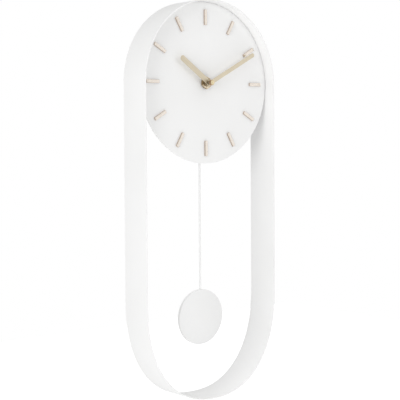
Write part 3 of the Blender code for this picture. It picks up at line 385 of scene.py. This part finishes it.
def soften(corners, radius, steps=3, closed=True):
    """A 2-D line with its corners rounded. A corner can state its own radius after its spot."""
    out = []
    count = len(corners)
    for i, corner in enumerate(corners):
        here = Vector(corner[:2])
        own = corner[2] if len(corner) > 2 else radius
        if own <= 0 or (not closed and i in (0, count - 1)):
            out.append(tuple(here))
            continue
        back = Vector(corners[i - 1][:2]) - here
        ahead = Vector(corners[(i + 1) % count][:2]) - here
        reach = min(own / math.tan(back.angle(ahead) / 2), 0.49 * back.length,
                    0.49 * ahead.length)
        start, end = here + back.normalized() * reach, here + ahead.normalized() * reach
        for k in range(steps + 1):
            t = k / steps
            out.append(tuple(start * (1 - t) ** 2 + here * (2 * t * (1 - t)) + end * t * t))
    return out


def arc(x, z, radius, start, end, steps):
    return [(x + radius * math.cos(start + (end - start) * i / steps),
             z + radius * math.sin(start + (end - start) * i / steps)) for i in range(steps + 1)]


def circle(x, z, radius, steps=48):
    return arc(x, z, radius, 0, TURN, steps)[:-1]


def rounded_box(left, right, bottom, top, radius, steps=10):
    spots = ((right - radius, top - radius), (left + radius, top - radius),
             (left + radius, bottom + radius), (right - radius, bottom + radius))
    out = []
    for quarter, (x, z) in enumerate(spots):
        out += arc(x, z, radius, quarter * TURN / 4, (quarter + 1) * TURN / 4, steps)
    return out


def evaluated(item):
    """A solid from an object with its modifiers, after which the object is thrown away."""
    mesh = bpy.data.meshes.new_from_object(
        item.evaluated_get(bpy.context.evaluated_depsgraph_get()))
    points = [v.co.copy() for v in mesh.vertices]
    faces = [tuple(p.vertices) for p in mesh.polygons]
    bpy.data.meshes.remove(mesh)
    bpy.data.objects.remove(item)
    return points, faces


def plate(outline, front_back, edge, holes=(), lie="XZ"):
    """A flat part with rounded edges and holes, from outlines drawn in one of two planes."""
    curve = bpy.data.curves.new("plate", "CURVE")
    curve.dimensions = "2D"
    curve.fill_mode = "BOTH"
    near, far = front_back
    curve.extrude = (far - near) / 2 - edge
    curve.bevel_depth = edge
    curve.bevel_resolution = 2
    curve.offset = -edge
    for loop in (outline, *holes):
        spline = curve.splines.new("POLY")
        spline.points.add(len(loop) - 1)
        for point, (u, v) in zip(spline.points, loop):
            point.co = (u, v, 0, 1)
        spline.use_cyclic_u = True
    item = bpy.data.objects.new("plate", curve)
    scene.collection.objects.link(item)
    bpy.context.view_layer.update()
    points, faces = evaluated(item)
    half_way = (near + far) / 2
    if lie == "XZ":
        points = [Vector((p.x, half_way + p.z, p.y)) for p in points]
    else:
        points = [Vector((p.x, p.y, half_way + p.z)) for p in points]
    return points, faces


def mesh_of(solid, name="piece"):
    points, faces = solid
    mesh = bpy.data.meshes.new(name)
    mesh.from_pydata([tuple(p) for p in points], [], faces)
    work = bmesh.new()
    work.from_mesh(mesh)
    bmesh.ops.remove_doubles(work, verts=work.verts, dist=0.0005 * MM)
    bmesh.ops.recalc_face_normals(work, faces=work.faces)
    work.to_mesh(mesh)
    work.free()
    return mesh


def carve(solid, *tools, operation="DIFFERENCE"):
    """Cuts the tools away from a solid, or joins them to it."""
    item = bpy.data.objects.new("carved", mesh_of(solid))
    scene.collection.objects.link(item)
    helpers = []
    for tool in tools:
        helper = bpy.data.objects.new("tool", mesh_of(tool))
        scene.collection.objects.link(helper)
        step = item.modifiers.new("step", "BOOLEAN")
        step.operation, step.solver, step.object = operation, "EXACT", helper
        helpers.append(helper)
    bpy.context.view_layer.update()
    result = evaluated(item)
    for helper in helpers:
        bpy.data.objects.remove(helper)
    return result


def weld(solid, *others):
    return carve(solid, *others, operation="UNION")


def cylinder(x, z, near, far, radius, segments=32):
    return lathe([(0, near), (radius, near), (radius, far), (0, far)], (x, 0, z),
                 segments=segments)


def slab(outline, near, far):
    """An outline in the dial's plane, carried from one depth to another."""
    return loft([[(x, y, z) for x, z in outline] for y in (near, far)])


def block(low, high):
    outline = [(low[0], low[2]), (high[0], low[2]), (high[0], high[2]), (low[0], high[2])]
    return slab(outline, low[1], high[1])


def moved(solid, matrix):
    return [matrix @ Vector(p) for p in solid[0]], solid[1]


def show(node, solid, finish, sharp=35):
    """Puts a finished piece in the scene in place of its CAD node."""
    mesh = mesh_of(solid, node + "_finished")
    mesh.materials.append(finish)
    mesh.shade_smooth()
    mesh.set_sharp_from_angle(angle=math.radians(sharp))
    piece = bpy.data.objects.new(node + "_finished", mesh)
    scene.collection.objects.link(piece)
    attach(piece, BODY_OF[node])
    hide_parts(node)
    return piece


# ---- the band ---------------------------------------------------------------------------
BAND_TOP_Z = CENTRE_Z - 0.3 * MM
BAND_LOW_Z = CENTRE_Z - 266.6 * MM


def band_loop(inset, y, steps=72, run=12):
    low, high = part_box("band_frame")
    half = high.x - inset
    drop = BAND_LOW_Z - low.z - inset
    line = arc(0, BAND_TOP_Z, half, 0, TURN / 2, steps)
    left = [(-half, BAND_TOP_Z + (BAND_LOW_Z - BAND_TOP_Z) * i / run) for i in range(1, run)]
    bottom = []
    for i in range(steps + 1):
        angle = TURN / 2 + TURN / 2 * i / steps
        across, down = math.cos(angle), max(-math.sin(angle), 0.0)
        power = 2 / 2.25
        bottom.append((math.copysign(abs(across) ** power, across) * half,
                       BAND_LOW_Z - down ** power * drop))
    right = [(half, z) for _, z in reversed(left)]
    return [(x, y, z) for x, z in line + left + bottom + right]


def make_band():
    near, far = depths("band_frame")
    section = soften([(0, near), (SHEET, near), (SHEET, far), (0, far)], 0.4 * MM, 4)
    show("band_frame", loft([band_loop(inset, y) for inset, y in section], ring=True), WHITE, 50)


def make_hanger_bar():
    """The strip bends forward at each end to lie on the band, and has a keyhole."""
    low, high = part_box("hanger_bar")
    gap, bend, steps = 0.3 * MM, 2.6 * MM, 6
    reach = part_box("band_frame")[1].x - SHEET - gap

    def rows(z):
        edge = math.sqrt(reach ** 2 - (z - BAND_TOP_Z) ** 2)
        turn_at = math.atan2(z - BAND_TOP_Z, edge)
        lean = 1 / math.cos(turn_at)
        outer, inner = [], []
        outer.append((edge, low.y))
        inner.append((edge - SHEET * lean, low.y))
        for i in range(steps + 1):
            a = TURN / 4 * i / steps
            outer.append((edge - (bend - bend * math.cos(a)) * lean,
                          high.y - bend + bend * math.sin(a)))
            small = bend - SHEET
            inner.append((edge - (SHEET + small - small * math.cos(a)) * lean,
                          high.y - SHEET - small + small * math.sin(a)))
        ring = outer + [(-x, y) for x, y in reversed(outer)]
        ring += [(-x, y) for x, y in inner] + [(x, y) for x, y in reversed(inner)]
        return [(x, y, z) for x, y in ring]

    count = 14
    heights = [low.z + (high.z - low.z) * i / count for i in range(count + 1)]
    body = loft([rows(z) for z in heights])
    mouth_z, mouth_radius, half = -9 * MM, 5.5 * MM, 2.5 * MM
    near, far = high.y - 3 * MM, high.y + 3 * MM
    mouth = cylinder(0, mouth_z, near, far, mouth_radius, 64)
    slot = soften([(-half, mouth_z, 0), (half, mouth_z, 0), (half, half), (-half, half)],
                  0.996 * half, 12)
    show("hanger_bar", carve(body, mouth, slab(slot, near, far)), WHITE, 40)


# ---- the dial and its markers -------------------------------------------------------------
def threaded(radius, depth, pitch, near, far):
    """The profile of a screw thread from one depth to the next, with chamfered ends."""
    turns = int((far - near) / pitch)
    out = [(radius - 1.6 * depth, near)]
    for i in range(turns):
        y = near + pitch * (i + 0.35)
        out += [(radius - depth, y), (radius, y + pitch * 0.35), (radius, y + pitch * 0.5)]
    out.append((radius - depth, far))
    return out


def make_dial():
    reach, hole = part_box("dial_plate")[1].x, 4.2 * MM
    profile = soften([(hole, DIAL_FRONT, 0.15 * MM), (reach, DIAL_FRONT),
                      (reach, DIAL_BACK), (hole, DIAL_BACK, 0.15 * MM)], 0.4 * MM, 4)
    dial = lathe(profile, CENTRE, segments=288)
    studs = []
    for side in (-1, 1):
        spine = [(0, DIAL_BACK - 0.6 * MM), (2.3 * MM, DIAL_BACK - 0.6 * MM),
                 (2.3 * MM, DIAL_BACK + 0.1 * MM), (1.7 * MM, DIAL_BACK + 0.35 * MM)]
        spine += threaded(1.5 * MM, 0.25 * MM, 0.5 * MM, DIAL_BACK + 0.5 * MM,
                          DIAL_BACK + 5.4 * MM)
        spine += [(1.2 * MM, DIAL_BACK + 5.5 * MM), (0, DIAL_BACK + 5.5 * MM)]
        studs.append(lathe(spine, (side * STUD_X, 0, CENTRE_Z), segments=32))
    show("dial_plate", weld(dial, *studs), WHITE, 40)


def make_marker(hour):
    node = "hour_marker_%02d" % hour
    near = depths(node)[0]
    width, length, ring = 4.0 * MM, 19.0 * MM, 81.3 * MM
    ease = 0.42 * MM
    steps = [(0.0, DIAL_FRONT + 0.02 * MM)]
    steps += [(ease * (1 - math.cos(a)), near + ease * (1 - math.sin(a)))
              for a in (TURN / 4 * i / 4 for i in range(5))]
    loops = []
    for inset, y in steps:
        outline = rounded_box(-width / 2 + inset, width / 2 - inset, ring - length / 2 + inset,
                              ring + length / 2 - inset, max(0.5 * MM - inset, 0.06 * MM), 4)
        loops.append([(x, y, z) for x, z in outline])
    bar = moved(loft(loops), Matrix.Translation(CENTRE)
                @ Matrix.Rotation(hour * TURN / 12, 4, "Y"))
    show(node, bar, MARKER, 30)


# ---- hands and hub --------------------------------------------------------------------------
def hand_outline(length, width, hub, angle, steps=16):
    half = width / 2
    reach = math.asin(half / hub)
    tip = arc(0, length - half, half, 0, TURN / 2, steps)
    around = arc(0, 0, hub, TURN / 4 + reach, TURN / 4 + TURN - reach, 3 * steps)
    spin = Matrix.Rotation(-angle, 2)
    return [tuple(spin @ Vector(p) + Vector((0, CENTRE_Z))) for p in tip + around]


def make_hand(node, angle, length, width, hub, bore, collet, y, deep):
    """A flat blade 0.6 mm thick about a depth y, with a collet behind it. Sizes are in mm."""
    blade = plate(hand_outline(length * MM, width * MM, hub * MM, angle),
                  ((y - 0.3) * MM, (y + 0.3) * MM), 0.12 * MM,
                  [circle(0, CENTRE_Z, bore * MM)])
    ring = lathe(soften([(bore * MM, y * MM), (collet * MM, y * MM),
                         (collet * MM, (y + deep) * MM), (bore * MM, (y + deep) * MM)],
                        0.15 * MM), CENTRE, segments=48)
    show(node, weld(blade, ring), hand_gold(node + "_gold", angle), 40)


def make_cap():
    near, far = depths("hand_cap_nut")
    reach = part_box("hand_cap_nut")[1].x
    bore, floor = 0.95 * MM, far - 1.1 * MM
    profile = soften([(0, near), (0.84 * reach, near + 0.12 * MM, 0.6 * MM),
                      (reach, near + 0.6 * MM, 0.4 * MM), (reach, far, 0.15 * MM),
                      (bore, far, 0.1 * MM), (bore, floor, 0), (0, floor)], 0, 5, closed=False)
    show("hand_cap_nut", lathe(profile, CENTRE, segments=64), CAP, 40)


def hex_nut(x, z, near, far, flats, bore, steps=96):
    """A hexagonal nut with chamfered corners and a countersunk bore."""
    flat = flats / 2
    rise = math.tan(math.radians(30))

    def loop(grow):
        out = []
        for i in range(steps):
            angle = TURN * i / steps
            off = (angle + TURN / 12) % (TURN / 6) - TURN / 12
            radius = flat / math.cos(off)
            r, y = grow(radius)
            out.append((x + r * math.cos(angle), y, z + r * math.sin(angle)))
        return out

    def slope(radius):
        return max(radius - flat * 1.01, 0.0) * rise

    lip = 0.35 * MM
    return loft([
        loop(lambda r: (bore, near + lip)), loop(lambda r: (bore + lip, near)),
        loop(lambda r: (min(r, flat * 0.99), near)),
        loop(lambda r: (min(r, flat * 1.01), near + 0.02 * MM)),
        loop(lambda r: (r, near + 0.06 * MM + slope(r))),
        loop(lambda r: (r, far - 0.06 * MM - slope(r))),
        loop(lambda r: (min(r, flat * 1.01), far - 0.02 * MM)),
        loop(lambda r: (min(r, flat * 0.99), far)),
        loop(lambda r: (bore + lip, far)), loop(lambda r: (bore, far - lip))], ring=True)


def make_hub():
    near = depths("bush_washer")[0]
    reach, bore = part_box("bush_washer")[1].x, 4.05 * MM
    washer = soften([(bore, near), (reach, near), (reach, DIAL_FRONT), (bore, DIAL_FRONT)],
                    0.22 * MM)
    show("bush_washer", lathe(washer, CENTRE, segments=96), BRASS, 40)
    near, far = depths("bush_nut")
    flats, bore = 2 * (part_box("bush_nut")[1].z - CENTRE_Z), 4.0 * MM
    show("bush_nut", hex_nut(0, CENTRE_Z, near, far, flats, bore), BRASS, 25)
    near, far = depths("threaded_bush")
    bore, crest, depth, pitch = 2.6 * MM, 3.9 * MM, 0.32 * MM, 0.75 * MM
    spine = [(bore, near), (3.3 * MM, near)]
    spine += threaded(crest, depth, pitch, near + 0.1 * MM, far)
    spine += [(bore, far)]
    show("threaded_bush", lathe(spine, CENTRE, segments=64), BRASS, 60)


# ---- behind the dial ------------------------------------------------------------------------
def make_dial_fixings():
    low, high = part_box("dial_bracket_right")
    for name, side in (("left", -1), ("right", 1)):
        inner, outer = high.x - SHEET, high.x
        angle = [(outer, low.y, 1.7 * MM), (outer, high.y, 0.3 * MM), (inner, high.y, 0.3 * MM),
                 (inner, low.y + SHEET, 0.6 * MM), (low.x, low.y + SHEET, 0.3 * MM),
                 (low.x, low.y, 0.3 * MM)]
        angle = [(side * x, y) for x, y in soften(angle, 0.3 * MM, 6)]
        node = "dial_bracket_" + name
        bracket = plate(angle, (low.z, high.z), 0.2 * MM, lie="XY")
        hole = cylinder(side * STUD_X, CENTRE_Z, low.y - MM, low.y + 3 * MM, 1.8 * MM)
        show(node, carve(bracket, hole), ZINC, 40)
        near, far = depths("dial_nut_" + name)
        show("dial_nut_" + name,
             hex_nut(side * STUD_X, CENTRE_Z, near, far, 5.5 * MM, 1.6 * MM), ZINC, 25)


def make_movement():
    """The two moulded halves of the movement's case."""
    left, right, bottom, top = -30 * MM, 30 * MM, CENTRE_Z - 58 * MM, CENTRE_Z + 32.5 * MM
    wall = 1.2 * MM

    def tray(profile):
        loops = []
        for inset, y in profile:
            outline = rounded_box(left + inset, right - inset, bottom + inset, top - inset,
                                  max(4 * MM - inset, 1.2 * MM))
            loops.append([(x, y, z) for x, z in outline])
        return loft(loops)

    def skin(open_y, back_y):
        """From the floor inside, over the rim, to the outside's softened corner."""
        way = 1 if back_y > open_y else -1
        inside = back_y - way * wall
        ease = 1.0 * MM
        outer = [(ease * (1 - math.cos(a)), back_y - way * ease * (1 - math.sin(a)))
                 for a in (TURN / 4 * i / 5 for i in range(6))]
        return [(wall + 0.5 * MM, inside), (wall, inside - way * 0.5 * MM), (wall, open_y),
                (0.15 * MM, open_y), (0, open_y + way * 0.15 * MM), *outer]

    near, far = depths("movement_front_case")[0], depths("movement_rear_cover")[1]
    slot = block((-8 * MM, -21.5 * MM, bottom - MM), (8 * MM, -13.5 * MM, bottom + 2.5 * MM))
    split = -18.5 * MM
    bush_hole = cylinder(0, CENTRE_Z, near - MM, near + 3 * MM, 4.05 * MM, 64)
    front = carve(tray(skin(split, near)), bush_hole, slot)
    shelf, root, end = CENTRE_Z + 13.7 * MM, near + 0.6 * MM, -11.4 * MM
    bosses = [block((-28.4 * MM, root, shelf), (27 * MM, end, shelf + MM))]
    screws = [(-25.5 * MM, CENTRE_Z + 10 * MM), (25.5 * MM, CENTRE_Z - 53.5 * MM)]
    for x, z in screws:
        bosses.append(cylinder(x, z, root, end, 2.2 * MM))
    show("movement_front_case", weld(front, *bosses), BLACK, 30)

    rear = tray(skin(split + 0.3 * MM, far))
    bay = rounded_box(-27 * MM, 27 * MM, CENTRE_Z + 15.3 * MM, CENTRE_Z + 30.1 * MM, 1.5 * MM)
    knob = middle("setting_knob")
    reach, floor = 7.4 * MM, far - 0.35 * MM
    dish = lathe(soften([(0, far + MM), (reach, far + MM), (reach, floor, 0.2 * MM),
                         (0, floor)], 0, 4, closed=False), (knob.x, 0, knob.z))
    cuts = [slab(bay, far - 3 * MM, far + 2 * MM), slot, dish,
            cylinder(knob.x, knob.z, far - 3 * MM, far + MM, 1.3 * MM)]
    cuts += [cylinder(x, z, far - 3 * MM, far + MM, 1.0 * MM) for x, z in screws]
    for i in range(5):
        z = CENTRE_Z - 30 * MM - i * 3 * MM
        groove = rounded_box(-16 * MM, -3 * MM, z, z + 1.1 * MM, 0.5 * MM, 5)
        cuts.append(slab(groove, far - 0.4 * MM, far + MM))
    show("movement_rear_cover", carve(rear, *cuts), BLACK, 30)


def make_setting_knob():
    near, far = depths("setting_knob")
    spot = middle("setting_knob")
    count, steps = 24, 8
    rim = []
    for i in range(count * steps):
        angle = TURN * i / (count * steps)
        radius = 5.95 * MM + 0.25 * MM * math.cos(count * angle)
        rim.append((spot.x + radius * math.cos(angle), spot.z + radius * math.sin(angle)))
    knob = plate(rim, (near, far), 0.5 * MM)
    dish = lathe(soften([(0, far + MM), (4.4 * MM, far + MM), (4.0 * MM, far - 0.5 * MM, 0.3 * MM),
                         (0, far - 0.5 * MM)], 0, 4, closed=False), (spot.x, 0, spot.z))
    show("setting_knob", carve(knob, dish), BLACK, 30)


def make_screws():
    for node in ("case_screw_upper", "case_screw_lower"):
        near, far = depths(node)
        spot = middle(node)
        head = far - 1.2 * MM
        spine = [(0, near), (0.45 * MM, near + 0.5 * MM), (0.7 * MM, near + 1.0 * MM)]
        spine += threaded(0.75 * MM, 0.18 * MM, 0.55 * MM, near + 1.1 * MM, head)
        spine += soften([(0.6 * MM, head), (1.9 * MM, head, 0.15 * MM),
                         (1.9 * MM, head + 0.7 * MM, 0.5 * MM), (0.9 * MM, far, 0.4 * MM),
                         (0, far)], 0, 4, closed=False)[1:]
        body = lathe(spine, (spot.x, 0, spot.z), segments=40)
        arm, half = 1.05 * MM, 0.2 * MM
        cross = [block((spot.x - a, far - 0.75 * MM, spot.z - b),
                       (spot.x + a, far + MM, spot.z + b)) for a, b in ((arm, half), (half, arm))]
        show(node, carve(body, *cross), ZINC, 30)


def make_battery():
    low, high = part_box("battery_cell")
    spot = middle("battery_cell")
    radius = high.z - spot.z
    left, right = low.x, high.x - 1.2 * MM
    profile = soften([(0, left + 0.25 * MM), (5.2 * MM, left + 0.25 * MM, 0.3 * MM),
                      (5.6 * MM, left, 0.3 * MM), (radius, left, 0.7 * MM),
                      (radius, right, 1.0 * MM), (4.6 * MM, right, 0.3 * MM),
                      (3.1 * MM, right - 0.3 * MM, 0.3 * MM),
                      (2.7 * MM, right - 0.2 * MM, 0.2 * MM),
                      (2.6 * MM, high.x, 0.35 * MM), (0, high.x)], 0, 5, closed=False)
    show("battery_cell", lathe(profile, (0, spot.y, spot.z), "X", 72), battery_wrap(), 40)


# ---- the pendulum ---------------------------------------------------------------------------
ROD_Y = -17.5 * MM
ROD_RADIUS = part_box("pendulum_rod")[1].x
PIVOT_Z = CENTRE_Z - 32 * MM


def make_pendulum():
    near, far = depths("pendulum_hanger")
    hole_z, magnet_z, hole = CENTRE_Z - 66 * MM, CENTRE_Z - 48 * MM, 2.1 * MM
    side = math.asin(2.5 / 6.0)
    outline = arc(0, PIVOT_Z, 3.2 * MM, math.radians(-38), math.radians(218), 24)
    outline += arc(0, magnet_z, 6 * MM, TURN / 4 + side, TURN * 3 / 4 - side, 20)
    outline += arc(0, hole_z, 3.6 * MM, math.radians(132), math.radians(408), 24)
    outline += arc(0, magnet_z, 6 * MM, -TURN / 4 + side, TURN / 4 - side, 20)
    lever = plate(outline, (near, far), 0.3 * MM,
                  [circle(0, PIVOT_Z, 0.87 * MM, 24), circle(0, hole_z, hole, 36)])
    show("pendulum_hanger", lever, ACETAL, 35)

    seat = hole_z - hole + ROD_RADIUS + 0.2 * MM
    front, back = near - ROD_RADIUS - 0.35 * MM, far + ROD_RADIUS + 0.35 * MM
    half_way, half = (back + front) / 2, (back - front) / 2
    shoulder = seat - half * 0.75
    bob_z = middle("bob_front_shell").z
    route = [(ROD_Y, bob_z - 14 * MM), (ROD_Y, bob_z + 60 * MM), (ROD_Y, hole_z - 14 * MM),
             (ROD_Y, hole_z - 12 * MM), (ROD_Y + 0.5 * MM, hole_z - 10.5 * MM),
             (back - 0.4 * MM, hole_z - 7.6 * MM), (back, hole_z - 6 * MM)]
    route += [(y, shoulder + z * 0.75) for y, z in arc(half_way, 0, half, 0, TURN / 2, 10)]
    route += [(front, shoulder - 1.6 * MM)]
    curve = bpy.data.curves.new("rod", "CURVE")
    curve.dimensions = "3D"
    curve.bevel_depth = ROD_RADIUS
    curve.bevel_resolution = 6
    curve.use_fill_caps = True
    spline = curve.splines.new("NURBS")
    spline.points.add(len(route) - 1)
    for point, (y, z) in zip(spline.points, route):
        point.co = (0, y, z, 1)
    spline.order_u = 3
    spline.use_endpoint_u = True
    spline.resolution_u = 6
    item = bpy.data.objects.new("rod", curve)
    scene.collection.objects.link(item)
    bpy.context.view_layer.update()
    show("pendulum_rod", evaluated(item), WHITE, 40)
    make_bob(bob_z)


def make_bob(bob_z):
    """Two domed pressings, each with a soft rolled rim, that meet in a fine seam."""
    radius, rim, dome, skin = 34.7 * MM, 2.1 * MM, 5.2 * MM, 0.8 * MM
    for node, side in (("bob_front_shell", -1), ("bob_rear_shell", 1)):
        seam = ROD_Y + side * 0.15 * MM
        outer, inner = [], []
        for i in range(25):
            share = i / 24 * 0.962
            rise = rim + dome * (1 - (share / 0.985) ** 2)
            outer.append((radius * share, ROD_Y + side * rise))
            inner.append(((radius - skin) * share, ROD_Y + side * (rise - skin)))
        edge = outer[-1]
        roll = soften([edge, (radius - 0.1 * MM, edge[1] - side * 0.25 * MM, 1.1 * MM),
                       (radius, seam + side * 0.3 * MM, 0), (radius - 0.25 * MM, seam, 0),
                       (radius - skin, seam)], 0, 7, closed=False)
        shell = lathe(outer + roll[1:] + inner[::-1], (0, 0, bob_z), segments=160)
        way = ROD_RADIUS + 0.15 * MM
        notch = lathe([(0, 28 * MM), (way, 28 * MM), (way, 38 * MM), (0, 38 * MM)],
                      (0, ROD_Y, bob_z), "Z", 32)
        show(node, carve(shell, notch), WHITE, 40)


def finish_cad_nodes():
    """Nodes that keep their CAD shape get their material here."""
    finishes = {
        "hour_wheel": BRASS, "centre_wheel": BRASS, "cannon_pinion": ZINC, "stator": ZINC,
        "coil_core": ZINC, "battery_contact_plus": ZINC, "battery_contact_minus": ZINC,
        "quartz_crystal": ZINC, "pendulum_pivot_pin": ZINC, "rubber_washer": RUBBER,
        "coil_winding": winding("motor_winding", True),
        "drive_coil": winding("drive_winding", False), "circuit_board": board_mask(),
        "bob_weight": sintered("cast_zinc", (0.24, 0.24, 0.25), (0.40, 0.40, 0.41), 0.55, 0.9)}
    ferrite = sintered("ferrite", (0.06, 0.06, 0.065), (0.13, 0.13, 0.14), 0.5, 0.4)
    for node in ("rotor_magnet", "hanger_magnet"):
        finishes[node] = ferrite
    for node in ("train_bridge", "minute_wheel", "setting_pinion", "third_wheel",
                 "fourth_wheel", "intermediate_wheel", "rotor_pinion", "coil_bobbin"):
        finishes[node] = ACETAL
    for node, finish in finishes.items():
        for slot in frame["nodes"][node].material_slots:
            slot.material = finish


# ---- stage ------------------------------------------------------------------------------------
def make_camera():
    yaw, pitch, roll = 0.6752, -0.0373, -0.0058
    ahead = Vector((math.sin(yaw) * math.cos(pitch), math.cos(yaw) * math.cos(pitch),
                    math.sin(pitch)))
    right = Vector((math.cos(yaw), -math.sin(yaw), 0))
    up = right.cross(ahead)
    across = right * math.cos(roll) + up * math.sin(roll)
    upward = up * math.cos(roll) - right * math.sin(roll)
    camera = bpy.data.objects.new("camera", bpy.data.cameras.new("camera"))
    axes = Matrix((across, upward, -ahead)).transposed()
    camera.matrix_world = Matrix.Translation((-0.82973, -1.05457, -0.12237)) @ axes.to_4x4()
    camera.data.sensor_width = 36
    camera.data.lens = 95.18
    camera.data.shift_y = -0.0582
    camera.data.clip_start, camera.data.clip_end = 0.01, 50
    scene.collection.objects.link(camera)
    scene.camera = camera


def make_world():
    """A soft studio: even light, stronger from the sweep below and from above. Polished parts
    reflect a bright right side and a dark left, and the camera sees white paper."""
    world = bpy.data.worlds.new("studio")
    scene.world = world
    world.use_nodes = True
    nodes, links = world.node_tree.nodes, world.node_tree.links
    nodes.clear()
    way = nodes.new("ShaderNodeSeparateXYZ")
    links.new(nodes.new("ShaderNodeTexCoord").outputs["Generated"], way.inputs[0])
    rays = nodes.new("ShaderNodeLightPath").outputs

    def plug(value, socket):
        if isinstance(value, bpy.types.NodeSocket):
            links.new(value, socket)
        else:
            socket.default_value = value

    def calculate(operation, *values):
        made = nodes.new("ShaderNodeMath")
        made.operation = operation
        for slot, value in enumerate(values):
            plug(value, made.inputs[slot])
        return made.outputs[0]

    def choose(share, first, second):
        made = nodes.new("ShaderNodeMix")
        for slot, value in ((0, share), (2, first), (3, second)):
            plug(value, made.inputs[slot])
        return made.outputs[0]

    def gradient(level, **slopes):
        for axis, slope in slopes.items():
            level = calculate("MULTIPLY_ADD", way.outputs[axis], slope, level)
        return level

    below = calculate("MAXIMUM", calculate("MULTIPLY", way.outputs["Z"], -1.0), 0.0)
    light = calculate("MULTIPLY_ADD", below, 1.71, gradient(0.45, X=0.17, Y=0.09, Z=0.66))
    shine = gradient(0.58, X=0.40, Y=-0.20)
    level = choose(rays["Is Glossy Ray"], light, shine)
    level = choose(rays["Is Camera Ray"], level, 1.0)
    glow = nodes.new("ShaderNodeBackground")
    glow.inputs["Color"].default_value = (1, 1, 1, 1)
    links.new(level, glow.inputs["Strength"])
    links.new(glow.outputs[0], nodes.new("ShaderNodeOutputWorld").inputs["Surface"])


def area_light(name, spot, aim, size, power):
    data = bpy.data.lights.new(name, "AREA")
    data.shape, data.size, data.energy = "DISK", size, power
    item = bpy.data.objects.new(name, data)
    item.location = spot
    item.rotation_mode = "QUATERNION"
    item.rotation_quaternion = (Vector(aim) - Vector(spot)).to_track_quat("-Z", "Y")
    item.visible_glossy = False
    scene.collection.objects.link(item)


def make_floor():
    """A wide pale floor well below the clock. It is seen, but lights and mirrors nothing:
    the world stands for the paper sweep."""
    look = Look("floor_paint", (0.93, 0.93, 0.93), 0.7, Emission_Strength=0.4)
    look.set("Emission Color", (1, 1, 1, 1))
    speck = look.noise(look.place(), 4.0, 3.0)
    look.link(look.ramp(speck, [(0.3, (0.925, 0.925, 0.925)), (0.7, (0.935, 0.935, 0.935))]),
              "Base Color")
    reach, z = 3.0, cad_box[0][2] - 0.55
    mesh = mesh_of(([(-reach, -reach, z), (reach, -reach, z), (reach, reach, z),
                     (-reach, reach, z)], [(0, 1, 2, 3)]))
    mesh.materials.append(look.material)
    floor = bpy.data.objects.new("floor", mesh)
    floor.visible_diffuse = floor.visible_glossy = floor.visible_shadow = False
    scene.collection.objects.link(floor)


def make_stage():
    scene.view_settings.view_transform = "Standard"
    make_camera()
    make_world()
    make_floor()
    area_light("key", (0.55, -2.0, 0.35), (0, 0, -0.15), 0.6, 5.0)
    area_light("fill", (-1.9, -0.7, 0), (0, 0, -0.2), 1.2, 15.3)
    area_light("low_fill", (-0.9, -1.1, -0.25), (0, 0, -0.35), 0.6, 1.8)


make_stage()
make_band()
make_hanger_bar()
make_dial()
for hour in range(1, 13):
    make_marker(hour)
make_hand("hour_hand", HOUR_ANGLE, length=53.3, width=6.9, hub=3.9, bore=2.4, collet=3.2,
          y=-37.4, deep=1.2)
make_hand("minute_hand", MINUTE_ANGLE, length=80.6, width=5.2, hub=3.8, bore=0.9, collet=2.6,
          y=-41.2, deep=1.5)
make_cap()
make_hub()
make_dial_fixings()
make_movement()
make_setting_knob()
make_screws()
make_battery()
make_pendulum()
finish_cad_nodes()
